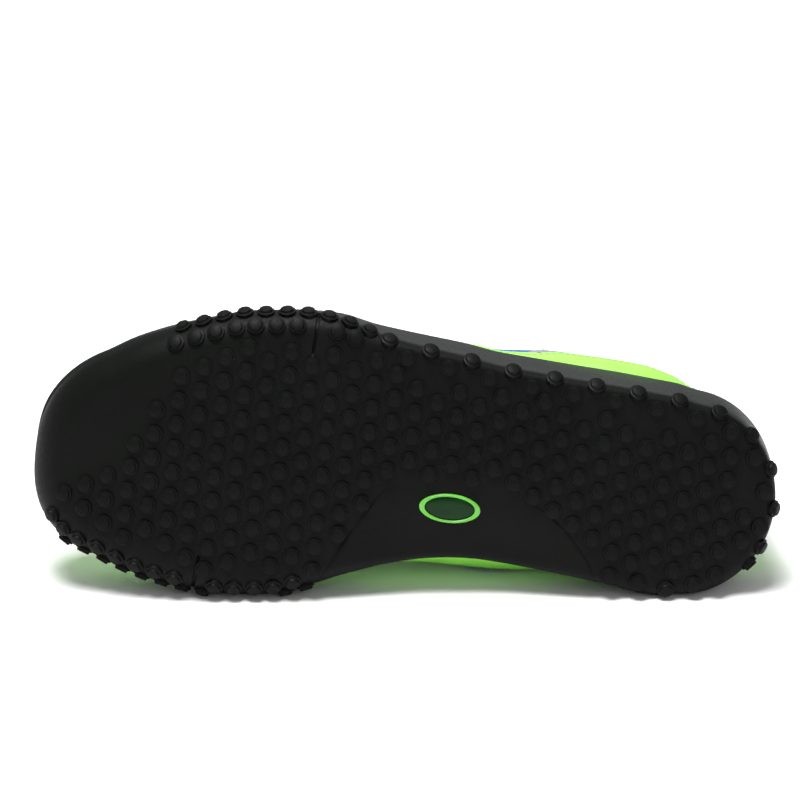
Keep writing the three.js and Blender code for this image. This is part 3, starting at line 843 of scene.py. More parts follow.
@dataclass(frozen=True)
class Synthetic:
    """Coated synthetic leather with fine grain."""

    name: str
    color: tuple[float, float, float]
    shade: tuple[float, float, float]
    rough: float = 0.42
    coat: float = 0.15

    def make(self) -> bpy.types.Material:
        """Wires the material.

        Returns:
            The new material.
        """
        shader = Shader(self.name)
        soft = shader.spread(shader.noise(35, 3), 0.3, 0.75, 0.0, 1.0)
        shader.link(shader.mix(soft, self.color, self.shade), shader.bsdf.inputs["Base Color"])
        inputs = {"Vector": shader.coordinates(), "Scale": 1100.0}
        voronoi = shader.node("ShaderNodeTexVoronoi", inputs, feature="DISTANCE_TO_EDGE")
        cells = voronoi.outputs["Distance"]
        fine = shader.noise(700, 3)
        rough = shader.spread(fine, 0.3, 0.7, self.rough - 0.06, self.rough + 0.07)
        shader.link(rough, shader.bsdf.inputs["Roughness"])
        pebble = shader.bump(shader.spread(cells, 0.0, 0.25, 0.0, 1.0), 0.25, 0.00015)
        shader.link(shader.bump(fine, 0.12, 0.0002, pebble), shader.bsdf.inputs["Normal"])
        shader.bsdf.inputs["Coat Weight"].default_value = self.coat
        shader.bsdf.inputs["Coat Roughness"].default_value = 0.3
        return shader.material


@dataclass(frozen=True)
class Knit:
    """Knitted or woven fabric, its threads charted on the piece's UV map."""

    name: str
    color: tuple[float, float, float]
    gap: tuple[float, float, float]
    along: float
    over: float
    sheen: float = 0.3

    def make(self) -> bpy.types.Material:
        """Wires the material.

        Returns:
            The new material.
        """
        shader = Shader(self.name)
        chart = shader.node("ShaderNodeTexCoord").outputs["UV"]
        scaled = shader.node("ShaderNodeMapping", {"Vector": chart, "Scale": (self.along, self.over, 1)})
        split = shader.node("ShaderNodeSeparateXYZ", {"Vector": scaled.outputs["Vector"]})
        waves = []
        for axis in ("X", "Y"):
            inputs = {0: split.outputs[axis], 1: 2 * HALF_TURN}
            turned = shader.node("ShaderNodeMath", inputs, operation="MULTIPLY")
            waves.append(shader.node("ShaderNodeMath", {0: turned.outputs[0]}, operation="SINE").outputs[0])
        product = shader.node("ShaderNodeMath", {0: waves[0], 1: waves[1]}, operation="MULTIPLY").outputs[0]
        thread = shader.spread(product, -0.7, 0.8, 0.0, 1.0)
        shader.link(shader.mix(thread, self.gap, self.color), shader.bsdf.inputs["Base Color"])
        fibre = shader.bump(shader.noise(1500, 2), 0.2, 0.0002)
        shader.link(shader.bump(thread, 0.6, 0.0004, fibre), shader.bsdf.inputs["Normal"])
        shader.bsdf.inputs["Roughness"].default_value = 0.85
        shader.bsdf.inputs["Sheen Weight"].default_value = self.sheen
        return shader.material


@dataclass(frozen=True)
class Plain:
    """Smooth moulded plastic or thread with a faint unevenness."""

    name: str
    color: tuple[float, float, float]
    rough: float
    coat: float = 0.0
    gloss: float = 0.5

    def make(self) -> bpy.types.Material:
        """Wires the material.

        Returns:
            The new material.
        """
        shader = Shader(self.name)
        soft = shader.spread(shader.noise(120, 3), 0.3, 0.7, 0.0, 1.0)
        deeper = tuple(channel * 0.8 for channel in self.color)
        shader.link(shader.mix(soft, self.color, deeper), shader.bsdf.inputs["Base Color"])
        shader.link(shader.bump(shader.noise(800, 2), 0.1, 0.0002), shader.bsdf.inputs["Normal"])
        shader.bsdf.inputs["Roughness"].default_value = self.rough
        shader.bsdf.inputs["Coat Weight"].default_value = self.coat
        shader.bsdf.inputs["Specular IOR Level"].default_value = self.gloss
        return shader.material


LIME = (0.33, 0.87, 0.1)
LIME_SHADE = (0.28, 0.79, 0.08)
TREAD = Rubber("tread_rubber", (0.003, 0.0036, 0.003), (0.0045, 0.0053, 0.0045), 0.5, 0.25, 0.08)
# The sidewall's black rubber is lighter than the tread's. That extra lightness is painted light, standing in
# for the light from above on the sidewall.
SIDEWALL_PAINTED_LIGHT = Rubber("sidewall_rubber", (0.012, 0.0138, 0.0135), (0.016, 0.018, 0.0178), 0.45, 0.12, 0.22)
LIME_PLASTIC = Plain("lime_plastic", (0.13, 0.55, 0.04), 0.35, 0.3)
DARK_PLASTIC = Plain("dark_green_plastic", (0.003, 0.03, 0.005), 0.25, gloss=0.15)
EYELET_PLASTIC = Plain("eyelet_plastic", (0.02, 0.022, 0.024), 0.4)
THREAD = Plain("thread", (0.16, 0.6, 0.05), 0.7)
INSOLE_FABRIC = Knit("insole_fabric", (0.06, 0.065, 0.075), (0.025, 0.028, 0.032), 260, 90)
LACE_CORD = Knit("lace_cord", (0.22, 0.8, 0.06), (0.1, 0.42, 0.03), 4, 60, 0.1)
LIME_SYNTHETIC = Synthetic("lime_synthetic", LIME, LIME_SHADE)
BLUE_MESH = Knit("blue_mesh", (0.02, 0.16, 0.62), (0.004, 0.03, 0.16), 420, 95)
GREY_MESH = Knit("grey_mesh", (0.36, 0.36, 0.46), (0.16, 0.16, 0.22), 420, 60)
TONGUE_MESH = Knit("tongue_mesh", (0.34, 0.34, 0.43), (0.14, 0.14, 0.19), 40, 80)
LINING = Knit("grey_lining", (0.2, 0.2, 0.25), (0.09, 0.09, 0.12), 520, 160)


@dataclass
class Sole:
    """The tread plate with its studs, the arch panel, its oval badge and the cup round the shoe."""

    around: int = 240
    flat: float = 16.0
    stud_crown: float = 5.0
    stud_sides: int = 12
    edge_pitch: float = 4.1
    edge_rows: tuple[float, float] = (0.8, 4.9)
    rolled_rows: tuple[float, float] = (0.3, 4.4)
    stud_apart: float = 6.8
    column_apart: float = 7.7
    filler_apart: float = 8.1
    filler_step: tuple[float, float] = (1.5, 0.013)
    floor_play: float = 0.0003
    bare_edge: tuple[float, float] = (0.03, 0.5)
    toe_lip: float = 1.0
    panel_rise: float = 0.55
    slit_width: float = 1.2
    slit_depth: float = 1.5
    slit_inset: float = 1.5
    slits: tuple[tuple[float, Side], ...] = ((0.638, Side.LATERAL), (0.77, Side.MEDIAL))
    badge_size: tuple[float, float] = (24.0, 12.0)
    badge_at: tuple[float, float] = (0.437, -0.112)

    def slit_turns(self) -> list[tuple[float, Side]]:
        """The turns at which the flex slits lie, counted from the heel on both sides."""
        return [(turn_of(along), side) for along, side in self.slits]

    def slit_reach(self, middle: float) -> float:
        """How far in turn a flex slit reaches to both sides of its middle."""
        return self.slit_width / (FORM.length * math.sin(middle))

    def half_turns(self) -> Points:
        """Turns from heel to toe, with close ones at the sides of the flex slits.

        Returns:
            The turns, sorted.
        """
        turns = list(np.linspace(0, HALF_TURN, self.around // 2 + 1))
        for middle, _ in self.slit_turns():
            width = self.slit_reach(middle)
            turns = [turn for turn in turns if abs(turn - middle) > 2.2 * width]
            turns += [middle + width * share for share in (-1.25, -0.9, 0.9, 1.25)]
        return np.array(sorted(turns))

    def ring_turns(self) -> Points:
        """Turns once round, the same on both sides."""
        half = self.half_turns()
        return np.concatenate((half, 2 * HALF_TURN - half[-2::-1]))

    def slit_at(self, turn: Points) -> Points:
        """How deep the flex slits are at each turn.

        Args:
            turn: Turns round the outline.

        Returns:
            Depths.
        """
        depth = np.zeros(np.shape(turn))
        for middle, side in self.slit_turns():
            centre = middle if side is Side.LATERAL else 2 * HALF_TURN - middle
            depth = np.where(np.abs(turn - centre) < self.slit_reach(middle), self.slit_depth, depth)
        return depth

    def level(self, height: float, slit: float = 0.0) -> Callable[[Points], Points]:
        """A ring on the flat of the tread.

        Args:
            height: How high over the tread's face it lies.
            slit: How much of the flex slits' depth it follows.

        Returns:
            A function that gives its points at the turns.
        """
        inset = self.flat - (self.slit_inset if slit else 0)

        def ring(turn: Points) -> Points:
            """The ring's points at the turns."""
            plan = FORM.inset(turn, np.full(np.shape(turn), inset))
            return FORM.on_tread(plan, height + slit * self.slit_at(turn))

        return ring

    def build_tread(self) -> bpy.types.Object:
        """The plate: face, rolled edge, lip and inner face, with the studs in the same mesh.

        Returns:
            The new piece.
        """
        model = Modeller("tread")
        turns = self.ring_turns()
        depth = self.slit_at(turns)
        makers = [self.level(0.0), self.level(0.0, slit=1.0)]
        makers += [lambda turn, a=angle: FORM.rolled(turn, a, depth) for angle in range(0, 91, 9)]
        makers += [
            lambda turn: FORM.lip(turn, 0.0, -0.4),
            lambda turn: FORM.lip(turn, 0.35, 0.0),
            lambda turn: FORM.lip(turn, FORM.plate, 0.0),
        ]
        makers += [lambda turn, a=angle: FORM.rolled(turn, a, FORM.plate) for angle in (90, 60, 30, 0)]
        makers.append(self.level(FORM.plate))
        model.grid(rows_of(turns, makers))
        half = self.half_turns()
        model.across(self.level(0.0), FORM.ground, half, 28)
        model.across(self.level(FORM.plate), lambda x, y: FORM.ground(x, y) + FORM.plate, half, 4)
        for x, y, _ in self.stud_places():
            model.grid(self.stud(x, y))
        piece = model.finish(crease=38)
        piece.data.materials.append(TREAD.make())
        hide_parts("outsole")
        return piece

    def edge_places(self) -> list[Points]:
        """Finds the studs of two rows that follow the edge, twice as close where the edge is rolled.

        Returns:
            Their centres.
        """
        turns = np.linspace(0, 2 * HALF_TURN, 3001)
        run = distances(FORM.outline(turns))
        count = 4 * round(run[-1] / self.edge_pitch / 4)
        places: list[Points] = []
        for i in range(count):
            turn = np.interp(run[-1] * i / count, run, turns)
            rolled = float(FORM.side(turn, "roll")) * FORM.edge_roll > self.edge_rows[1]
            if rolled or i % 2 == 0:
                rows, order = (self.rolled_rows, i) if rolled else (self.edge_rows, i // 2)
                step = rows[order % 2]
                x, y = FORM.inset(turn, np.array(step))
                while self.lowest(x, y) < 0 and step < self.flat:
                    step += 0.3
                    x, y = FORM.inset(turn, np.array(step))
                bare = self.bare_edge[0] < FORM.station(turn) < self.bare_edge[1] and turn > HALF_TURN
                if not bare or step > self.rolled_rows[1]:
                    self.add_place(places, float(x), float(y), self.stud_apart)
        return places

    def add_place(self, places: list[Points], x: float, y: float, apart: float) -> None:
        """Adds a stud centre where the tread is free and the others are far enough.

        Args:
            places: The centres so far.
            x: The place along the shoe.
            y: The place across it.
            apart: The least distance to another centre.
        """
        reach = self.stud_apart * 0.7
        others = np.array(places) if places else np.full((1, 3), np.inf)
        if np.hypot(others[:, 0] - x, others[:, 1] - y).min() < reach:
            return
        inset, _, height = FORM.tread(x, y)
        centre = np.array((x, y, height))
        free = not (self.in_toe_patch(x, y) or self.in_arch(x, y) or self.in_slit(x, y, inset))
        clear = np.linalg.norm(others - centre, axis=-1).min() > apart
        if inset > 0 and free and clear and self.lowest(x, y) > -self.floor_play:
            places.append(centre)

    def lowest(self, x: float, y: float) -> float:
        """How high over the floor a stud's lowest point lies, in metres."""
        return float(PLACING.points(self.stud(x, y))[..., 2].min())

    def stud_places(self) -> list[Points]:
        """Finds all studs: rows along the edge, columns inside them, and a few more in the gaps left.

        Returns:
            Their centres.
        """
        places = self.edge_places()
        column = FORM.stud_column
        for k in range(math.ceil(FORM.length / column)):
            for j in range(-8, 9):
                y = (j + (k % 2) / 2) * FORM.stud_pitch
                self.add_place(places, (k + 0.5) * column, y, self.column_apart)
        for x in np.arange(2.0, FORM.length, self.filler_step[0]):
            for y in np.arange(-0.55, 0.55, self.filler_step[1]) * FORM.ball_width:
                self.add_place(places, float(x), float(y), self.filler_apart)
        return places

    def in_slit(self, x: float, y: float, inset: float) -> bool:
        """Whether a flex slit would run through a stud.

        Args:
            x: The stud's place along the shoe.
            y: Its place across it.
            inset: How far it is inside the edge.

        Returns:
            True where one would.
        """
        reach = (FORM.stud_base + self.slit_width) / 2 - 0.6
        near = [side.value * y > 0 and abs(x - along * FORM.length) < reach for along, side in self.slits]
        return inset < self.flat and any(near)

    @staticmethod
    def in_toe_patch(x: float, y: float) -> bool:
        """Whether a stud would stand on the smooth toe.

        Args:
            x: The stud's place along the shoe.
            y: Its place across it.

        Returns:
            True where it would.
        """
        across, share = y / FORM.ball_width, x / FORM.length
        smooth = across > TOE_PATCH.rows[0][0] and share > float(TOE_PATCH.read("from", across))
        return share > 0.968 or smooth

    @staticmethod
    def in_arch(x: float, y: float) -> bool:
        """Whether a stud would stand on the smooth arch.

        Args:
            x: The stud's place along the shoe.
            y: Its place across it.

        Returns:
            True where it would.
        """
        across, share = y / FORM.ball_width, x / FORM.length
        margin = FORM.stud_base / 2 / FORM.length
        if across > ARCH_WINDOW.rows[-1][0]:
            return False
        low = float(ARCH_WINDOW.read("from", across)) - margin
        return low < share < float(ARCH_WINDOW.read("to", across)) + margin

    @staticmethod
    def tread_axes(x: float, y: float) -> tuple[Points, Points]:
        """Finds a point of the tread's face and its slopes.

        Args:
            x: Its place along the shoe.
            y: Its place across it.

        Returns:
            The point, and the axes there: two along the face and one out of it.
        """
        step = 0.5
        slope_x = (FORM.tread(x + step, y)[2] - FORM.tread(x - step, y)[2]) / (2 * step)
        slope_y = (FORM.tread(x, y + step)[2] - FORM.tread(x, y - step)[2]) / (2 * step)
        out = unit(np.array((slope_x, slope_y, -1.0)))
        return np.array((x, y, FORM.tread(x, y)[2])), axes_about(out, (0.0, 1.0, 0.0))

    def stud(self, x: float, y: float) -> Points:
        """One round stud with its two steps, its foot drawn in under the tread.

        Args:
            x: Its place along the shoe.
            y: Its place across it.

        Returns:
            Its points.
        """
        base, crown = FORM.stud_base / 2, self.stud_crown / 2
        profile = (
            (base * 0.5, -4.0),
            (base, -0.9),
            (base - 0.1, 0.75),
            (crown + 0.25, 1.0),
            (crown, FORM.stud_height - 0.15),
            (crown - 0.3, FORM.stud_height),
            (0.001, FORM.stud_height - 0.06),
        )
        centre, axes = self.tread_axes(x, y)
        return lathe(profile, self.stud_sides) @ axes + centre

    def build_panel(self) -> bpy.types.Object:
        """The smooth panel of the arch, a little proud of the tread, with a groove at both sides.

        Returns:
            The new piece.
        """
        model = Modeller("arch_panel")
        columns, rows, least = 48, 30, 0.3
        first, last = ARCH_WINDOW.rows[0][0], ARCH_WINDOW.rows[-1][0]
        across = np.linspace(first, last, rows + 1)
        edges = ((0.0, -0.7), (0.004, 0.35), (0.02, 1.0), (0.98, 1.0), (0.996, 0.35), (1.0, -0.7))
        places, rises = np.array(edges).T
        along = np.unique(np.concatenate((np.linspace(0, 1, columns + 1), places)))
        points = np.zeros((rows + 1, len(along), 3))
        for i, share in enumerate(across):
            low, high = (float(ARCH_WINDOW.read(side, share)) for side in ("from", "to"))
            fade = float(smoothstep(np.array(last - share), 0.0, 0.12))
            for j, u in enumerate(along):
                x, y = (low + (high - low) * u) * FORM.length, share * FORM.ball_width
                rise = self.panel_rise * float(np.interp(u, places, rises)) * fade - 0.1 * (1 - fade)
                inset, _, height = FORM.tread(x, y)
                if inset < least:
                    y += least - inset
                    height = FORM.tread(x, y)[2]
                points[i, j] = (x, y, height - rise)
        model.grid(points)
        piece = model.finish(crease=50)
        piece.data.materials.append(TREAD.make())
        return piece

    def build_badge(self) -> bpy.types.Object:
        """The plain oval in the arch: a bright rim round a dark dome.

        Returns:
            The new piece.
        """
        model = Modeller("arch_badge")
        x, y = self.badge_at[0] * FORM.length, self.badge_at[1] * FORM.ball_width
        centre, axes = self.tread_axes(x, y)
        size = np.array((self.badge_size[0] / 2, self.badge_size[1] / 2, 1.0))
        rim = ((1.0, -0.9), (1.0, 0.75), (0.975, 0.95), (0.86, 0.95), (0.83, 0.75), (0.82, 0.3))
        dome = ((0.82, 0.3), (0.8, 0.45), (0.7, 0.75), (0.5, 1.05), (0.25, 1.22), (0.0001, 1.28))
        for slot, profile in enumerate((rim, dome)):
            model.grid(lathe(profile, 56) * size @ axes + centre, slot)
        piece = model.finish()
        piece.data.materials.append(LIME_PLASTIC.make())
        piece.data.materials.append(DARK_PLASTIC.make())
        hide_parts("arch_inlay")
        return piece

    def build_cup(self) -> bpy.types.Object:
        """The cup: sidewall with its rounded rim, inner wall and floor.

        Returns:
            The new piece.
        """
        depth = FORM.plate + CLEARANCE
        model = Modeller("sidewall_cup")
        turns = around(self.around)

        def side(share: float, out: float) -> Callable[[Points], Points]:
            """A ring of the sidewall.

            Args:
                share: Its share of the way from the parting line to the rim.
                out: How far it swells out.

            Returns:
                A function that gives its points at the turns.
            """

            def ring(turn: Points) -> Points:
                """The ring's points at the turns, with the lip at the toe's lateral side.

                Args:
                    turn: Turns round the outline.

                Returns:
                    The point at each turn.
                """
                lower, upper = FORM.lip(turn, 0.15, CLEARANCE), FORM.rim(turn, 0.0, 1.2)
                points = lower * (1 - share) + upper * share
                toe = smoothstep(FORM.station(turn), 0.76, 0.84) * smoothstep(np.sin(turn), 0.0, 0.25)
                swelling = math.sin(HALF_TURN * min(2.5 * share, 0.5 + share / 2))
                bulge = out + self.toe_lip * toe * swelling
                points[..., :2] -= FORM.inward(turn) * bulge[..., None]
                return points

            return ring

        makers = [self.level(depth)]
        makers += [lambda turn, a=angle: FORM.rolled(turn, a, depth) for angle in (0, 30, 60, 90)]
        makers += [lambda turn: FORM.lip(turn, depth, CLEARANCE)]
        swell = ((0, 0), (0.04, 0.25), (0.2, 0.35), (0.45, 0.35), (0.7, 0.25), (0.9, 0.05), (1, 0))
        makers += [side(share, out) for share, out in swell]
        rim = ((0.15, 0.5), (0.5, 0.1), (0.9, 0.0), (1.4, 0.1), (FORM.rim_wall, 0.6))
        makers += [lambda turn, i=inset, d=drop: FORM.rim(turn, i, d) for inset, drop in rim]
        makers += [lambda turn, i=inset: FORM.on_bed(turn, i, 0.0) for inset in (FORM.cup_wall, self.flat)]
        model.grid(rows_of(turns, makers))
        half = np.linspace(0, HALF_TURN, self.around // 2 + 1)
        model.across(self.level(depth), lambda x, y: FORM.ground(x, y) + depth, half, 4)
        model.across(lambda turn: FORM.on_bed(turn, self.flat, 0.0), lambda x, y: FORM.bed(x), half, 6)
        piece = model.finish()
        # Its rubber is lighter than the tread's as painted light from above.
        piece.data.materials.append(SIDEWALL_PAINTED_LIGHT.make())
        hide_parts("midsole")
        return piece

    def build_insole(self) -> bpy.types.Object:
        """The thin sheet inside, with a rounded edge.

        Returns:
            The new piece.
        """
        model = Modeller("insole_sheet")
        turns = around(self.around)
        edge = FORM.cup_wall + 2 * CLEARANCE + FORM.upper_wall + 1
        top = 3.3
        loops = [(18, 0.3), (edge, 0.3), (edge - 0.1, 1.8), (edge + 0.3, 2.9)]
        loops += [(edge + 1.2, top), (18, top - 0.4)]
        makers = [lambda turn, i=inset, h=height: FORM.on_bed(turn, i, h) for inset, height in loops]
        model.grid(rows_of(turns, makers))
        half = np.linspace(0, HALF_TURN, self.around // 2 + 1)
        model.across(makers[0], lambda x, y: FORM.bed(x) + 0.3, half, 4)
        model.across(makers[-1], lambda x, y: FORM.bed(x) + top - 0.4, half, 12)
        piece = model.finish()
        piece.data.materials.append(INSOLE_FABRIC.make())
        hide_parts("insole")
        return piece

    def build(self) -> None:
        """Builds the sole's pieces."""
        self.build_tread()
        self.build_panel()
        self.build_badge()
        self.build_cup()
        self.build_insole()


# How far up the wall the lower band reaches, by the place along the shoe.
BAND_TOP = Table(
    "at lateral medial",
    (
        (0.0, 0.5, 0.5),
        (0.05, 0.45, 0.46),
        (0.11, 0.26, 0.34),
        (0.18, 0.18, 0.28),
        (0.3, 0.15, 0.25),
        (0.345, 0.08, 0.16),
        (0.392, 0.08, 0.16),
        (0.43, 0.24, 0.28),
        (0.49, 0.34, 0.34),
        (0.6, 0.33, 0.33),
        (0.74, 0.3, 0.3),
        (0.86, 0.4, 0.4),
        (0.93, 0.54, 0.54),
        (1.0, 0.64, 0.64),
    ),
)
# Where the heel's quarter ends, as a share of the length.
QUARTER_END = 0.352
# The first and the last row of eyelets, in shares of a half turn, their height up the wall and their number.
THROAT_FIRST = 0.46
THROAT_LAST = 0.78
THROAT_UP = 0.9
LACE_ROWS = 5
# The turn at which the collar ends at both sides.
COLLAR_END = 0.45 * HALF_TURN


@dataclass(frozen=True)
class Seam:
    """A row of stitches over the upper."""

    turns: Points
    shares: Points
    over: Points | float
    pitch: float = 2.7

    def add(self, model: Modeller) -> None:
        """Adds its stitches, each a small spindle.

        Args:
            model: The mesh that they are added to.
        """
        line = FORM.upper_off(self.turns, self.shares, np.asarray(self.over))
        out = FORM.upper_normal(self.turns, self.shares)
        run = distances(line)

        def at(values: Points, place: float) -> Points:
            """Reads values of the line at a distance along it."""
            return np.array([np.interp(place, run, values[:, i]) for i in range(3)])

        for mark in np.arange(self.pitch, run[-1] - self.pitch, self.pitch):
            middle, up = at(line, mark), unit(at(out, mark))
            along = unit(at(line, mark + 0.5) - at(line, mark - 0.5))
            axes = np.stack((np.cross(up, along), up, along))
            spindle = lathe(((0.05, -0.95), (0.27, -0.6), (0.27, 0.6), (0.05, 0.95)), 4)
            model.grid(spindle @ axes + middle)


@dataclass
class Upper:
    """The shell of the upper with its overlays, collar, eyelets and seams."""

    around: int = 480
    shares: int = 40

    def build_shell(self) -> bpy.types.Object:
        """The hollow shell, from the floor of the cup to the topline and down inside.

        Returns:
            The new piece.
        """
        model = Modeller("upper_shell")
        turns = around(self.around)
        shares = np.linspace(0, 1, self.shares)
        wall = FORM.upper_wall
        feather = FORM.cup_wall + 2 * CLEARANCE

        def foot(turn: Points) -> Points:
            """The edge of the shell on the floor of the cup."""
            return FORM.on_bed(turn, feather, CLEARANCE)

        outer = [foot] + [lambda turn, s=share: FORM.upper_off(turn, s, 0.0) for share in shares]
        inner = [lambda turn: FORM.upper_off(turn, 1.0, -wall / 2) + (0, 0, 0.6)]
        inner += [lambda turn, s=share: FORM.upper_off(turn, s, -wall) for share in shares[::-1]]
        inner += [lambda turn: FORM.on_bed(turn, feather + wall, CLEARANCE), foot]
        model.grid(rows_of(turns, outer[:2]), 2, chart(turns, [-0.1, shares[0]]))
        model.grid(rows_of(turns, outer[1:]), 0, chart(turns, shares))
        heights = [1.0, 1.01, *shares[::-1], -0.1, -0.1]
        model.grid(rows_of(turns, [outer[-1], *inner]), 1, chart(turns, heights))
        piece = model.finish()
        piece.data.materials.append(BLUE_MESH.make())
        piece.data.materials.append(LINING.make())
        piece.data.materials.append(LIME_SYNTHETIC.make())
        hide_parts("upper")
        return piece

    def sheet(
        self, name: str, turns: Points, profile: list, finish: Synthetic | Knit, ends: Points | None = None
    ) -> bpy.types.Object:
        """Lays a closed sheet over the upper.

        Args:
            name: The name of the piece.
            turns: The turns of its columns, one row or as many rows as the profile has.
            profile: Pairs of share and height over the face, each a number or one for each column.
            finish: The finish that it wears.
            ends: How much of its thickness each column keeps, or None for a ring.

        Returns:
            The new piece.
        """
        model = Modeller(name)
        rows = []
        charted = []
        for i, (share, over) in enumerate(profile):
            turn = turns[i] if turns.ndim > 1 else turns
            keep = 1.0 if ends is None else ends
            height = SUNK + (np.asarray(over) - SUNK) * keep
            up = np.broadcast_to(share, turn.shape)
            rows.append(FORM.upper_off(turn, up, height))
            charted.append(np.stack((turn / (2 * HALF_TURN), up), axis=-1))
        model.grid(np.stack(rows), 0, np.stack(charted))
        piece = model.finish()
        piece.data.materials.append(finish.make())
        return piece

    @staticmethod
    def laid(low: Points, high: Points, thick: Points | float, rows: int) -> list:
        """The profile of a flat sheet, with rounded edges and an underside.

        Args:
            low: The share at which it starts, one for each column.
            high: The share at which it ends, one for each column.
            thick: How far it stands out, one number or one for each column.
            rows: How many rows its face has.

        Returns:
            Pairs of share and height over the face.
        """
        soft = 0.012
        edge = [(low, SUNK), (low, thick * 0.55), (low + soft, thick)]
        inside = [(low + (high - low) * v, thick) for v in np.linspace(0, 1, rows)[1:-1]]
        top = [(high - soft, thick), (high, thick * 0.55), (high, SUNK)]
        under = [(high + (low - high) * v, SUNK) for v in np.linspace(0, 1, rows)[1:]]
        return edge + inside + top + under

    @staticmethod
    def band(turn: Points) -> Points:
        """How thick the lower band is at a turn: thinner where the sidewall covers it.

        Args:
            turn: Turns round the outline.

        Returns:
            Thicknesses.
        """
        at = FORM.station(turn)
        covered = smoothstep(at, 0.4, 0.46) * (1 - smoothstep(at, 0.78, 0.86)) * (np.sin(turn) > 0)
        heel = 1 - smoothstep(np.abs(at - 0.06), 0.05, 0.1)
        return 0.7 - 0.5 * covered - 0.35 * heel

    def band_top(self, turn: Points) -> Points:
        """How far up the lower band reaches at a turn.

        Args:
            turn: Turns round the outline.

        Returns:
            Shares of the way up the wall.
        """
        at = FORM.station(turn)
        near = [at + shift for shift in np.linspace(-0.014, 0.014, 7)]
        lateral = sum(BAND_TOP.read("lateral", place) for place in near) / len(near)
        medial = sum(BAND_TOP.read("medial", place) for place in near) / len(near)
        return np.where(np.sin(turn) >= 0, lateral, medial)

    def build_overlays(self) -> None:
        """The lower band, the saddles at the waist, the eyestay and the padded collar."""
        turns = around(360)
        low = np.zeros(turns.shape)
        profile = self.laid(low, self.band_top(turns), self.band(turns), 16)
        self.sheet("lower_band", turns, profile, LIME_SYNTHETIC)
        heel = np.linspace(-1, 1, 161)
        ends = np.interp(np.abs(heel), (0, 0.99, 1), (1, 1, 0))
        flat = np.zeros(heel.shape)
        profile = self.laid(flat + 0.04, flat + 0.8, 0.3, 16)
        grid = [heel * self.quarter_end(float(np.mean(share))) for share, _ in profile]
        self.sheet("heel_quarter", np.array(grid), profile, GREY_MESH, ends)
        columns = np.linspace(0, 1, 25)
        profile = self.laid(np.full(25, 0.26), np.full(25, 0.86), 0.55, 14)
        grid = np.array([self.saddle_turn(float(np.mean(share)), columns) for share, _ in profile])
        ends = np.interp(columns, (0, 0.03, 0.06, 0.94, 0.97, 1), (0, 0.7, 1, 1, 0.7, 0))
        for side in Side:
            name = f"{side.name.lower()}_saddle"
            self.sheet(name, side.value * grid, profile, LIME_SYNTHETIC, ends)
        self.build_eyestay()
        self.build_collar()

    @staticmethod
    def quarter_end(share: Points) -> Points:
        """The turn at which the heel's quarter ends, leaning back on its way up."""
        return turn_of(QUARTER_END) + 0.22 * (0.15 - share)

    @staticmethod
    def saddle_turn(share: Points, column: Points) -> Points:
        """The turn of a column of the saddle, whose foot is wider and further forward.

        Args:
            share: The height up the wall.
            column: The share of the way from the saddle's rear edge to its front one.

        Returns:
            The turn on the lateral side.
        """
        foot = (0.86 - share) / 0.6
        start, stop = turn_of(0.415) + 0.08 * foot, turn_of(0.52) + 0.18 * foot
        return start + (stop - start) * column

    @staticmethod
    def eyestay_edge(turn: Points) -> Points:
        """How far up the wall the lower edge of the eyestay lies."""
        return np.full(turn.shape, 0.775) - 0.05 * smoothstep(FORM.station(turn), 0.85, 1.0)

    def build_eyestay(self) -> None:
        """The strip round the throat, folded over its edge."""
        turns = np.linspace(0.4 * HALF_TURN, 1.6 * HALF_TURN, 181)
        low = self.eyestay_edge(turns)
        edge = [(low, SUNK), (low, 0.55), (low + 0.012, 0.95)]
        over = [(0.85, 0.95), (0.91, 0.95), (0.96, 0.95), (0.985, 0.85)]
        fold = [(1.0, 0.4), (1.0, -1.0), (1.0, -2.4), (0.97, -2.6), (0.9, -2.6), (0.88, -2.2), (0.88, -1.0)]
        back = [(0.88, SUNK), (0.83, SUNK), (low, SUNK)]
        ends = np.ones(turns.shape)
        ends[[0, 1, -2, -1]] = (0, 0.8, 0.8, 0)
        self.sheet("eyestay", turns, edge + over + fold + back, LIME_SYNTHETIC, ends)

    def build_collar(self) -> None:
        """The padded collar round heel and ankle, rolled over to the inside."""
        turns = np.linspace(-COLLAR_END, COLLAR_END, 161)
        fade = smoothstep(COLLAR_END - np.abs(turns), 0.0, 0.5)
        dip = self.collar_dip(turns)
        arc = ((0.0, SUNK), (0.01, 0.5), (0.11, 1.1), (0.26, 1.7), (0.48, 2.0), (0.7, 1.8), (0.89, 1.1))
        outside = [(dip + (1 - dip) * up, over) for up, over in arc]
        top = [(1.0, 0.2), (1.0, -1.0), (1.0, -2.6)]
        inside = [(0.96, -3.8), (0.9, -4.6), (0.82, -4.8), (0.74, -4.4), (0.66, -3.2)]
        inside += [(0.6, -2.2), (0.58, -1.6)]
        wall = -2.1
        back = [(0.62, -1.0), (0.7, -0.6), (dip, SUNK)]
        profile = []
        for share, over in outside + top:
            profile.append((share, over * (0.1 + 0.9 * fade) if over > 0 else np.full(turns.shape, over)))
        for share, over in inside:
            full = np.full(turns.shape, over)
            profile.append((share, wall + (over - wall) * fade if over < wall else full))
        for share, over in back:
            profile.append((share, np.full(turns.shape, over)))
        piece = self.sheet("padded_collar", turns, profile, GREY_MESH)

    @staticmethod
    def collar_dip(turn: Points) -> Points:
        """How far down the collar's padding reaches outside, drawn in under the eyestay."""
        return 0.73 + 0.1 * smoothstep(np.abs(turn), 0.34 * HALF_TURN, 0.45 * HALF_TURN)

